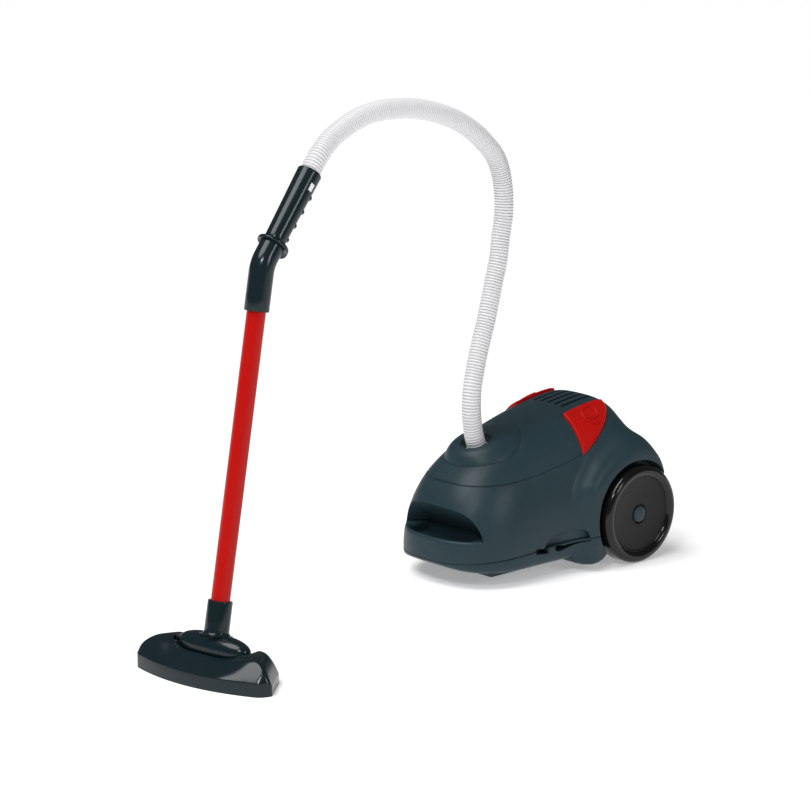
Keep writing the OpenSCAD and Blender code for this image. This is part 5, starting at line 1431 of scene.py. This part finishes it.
class TOYVAC_OT_inner_pieces(bpy.types.Operator):
    """Finishes of the pieces that keep their CAD shape"""

    bl_idname = "toy_vacuum.inner_pieces"
    bl_label = "Inner pieces"
    FINISHES = {
        "drawn_steel": ("rear_axle", "caster_axle", "battery_contacts", "battery_door_screw", "case_screws", "motor"),
        "black_steel": ("nozzle_pin",),
        "inner_black": ("push_switches", "caster_fork", "caster_wheel", "battery_box", "motor_tower", "fan_housing",
                        "inlet_clip"),
        "white_satin": ("inlet_cuff",),
        "shell_satin": ("battery_door",),
        "fan_orange": ("fan",),
        "cell_wrap": ("battery_cells",),
    }

    def execute(self, context):
        for finish, nodes in self.FINISHES.items():
            for node in nodes:
                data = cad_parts[node].data
                data.materials.clear()
                data.materials.append(material(finish))
        return {"FINISHED"}


OPERATORS = (
    TOYVAC_OT_stage, TOYVAC_OT_hose, TOYVAC_OT_upper_shell, TOYVAC_OT_top_cover, TOYVAC_OT_base_pan, TOYVAC_OT_buttons,
    TOYVAC_OT_springs, TOYVAC_OT_wheels, TOYVAC_OT_handle, TOYVAC_OT_wand, TOYVAC_OT_nozzle, TOYVAC_OT_inner_pieces)
GROUPS = {"toy_body": BodySizes, "toy_wheels": WheelSizes, "toy_hose": HoseSizes, "toy_wand": WandSizes,
          "toy_nozzle": NozzleSizes, "toy_finishes": Finishes}


class TOYVAC_PT_sidebar(bpy.types.Panel):
    """Sizes, colours and pieces of the toy vacuum cleaner"""

    bl_idname = "TOYVAC_PT_sidebar"
    bl_label = "Toy vacuum cleaner"
    bl_space_type = "VIEW_3D"
    bl_region_type = "UI"
    bl_category = "Toy Vacuum"

    def draw(self, context):
        for operator in OPERATORS:
            self.layout.operator(operator.bl_idname)
        for key, group in GROUPS.items():
            box = self.layout.box()
            box.label(text=group.__doc__)
            for name in group.__annotations__:
                box.prop(getattr(context.scene, key), name)


def register():
    for group in GROUPS.values():
        bpy.utils.register_class(group)
    for operator in OPERATORS:
        bpy.utils.register_class(operator)
    bpy.utils.register_class(TOYVAC_PT_sidebar)
    for key, group in GROUPS.items():
        setattr(bpy.types.Scene, key, bpy.props.PointerProperty(type=group))


def unregister():
    for key in GROUPS:
        delattr(bpy.types.Scene, key)
    bpy.utils.unregister_class(TOYVAC_PT_sidebar)
    for operator in reversed(OPERATORS):
        bpy.utils.unregister_class(operator)
    for group in reversed(GROUPS.values()):
        bpy.utils.unregister_class(group)


def main():
    register()
    bpy.ops.toy_vacuum.stage()
    bpy.ops.toy_vacuum.hose()
    bpy.ops.toy_vacuum.upper_shell()
    bpy.ops.toy_vacuum.top_cover()
    bpy.ops.toy_vacuum.base_pan()
    bpy.ops.toy_vacuum.buttons()
    bpy.ops.toy_vacuum.springs()
    bpy.ops.toy_vacuum.wheels()
    bpy.ops.toy_vacuum.handle()
    bpy.ops.toy_vacuum.wand()
    bpy.ops.toy_vacuum.nozzle()
    bpy.ops.toy_vacuum.inner_pieces()
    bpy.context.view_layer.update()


if __name__ == "__main__":
    main()
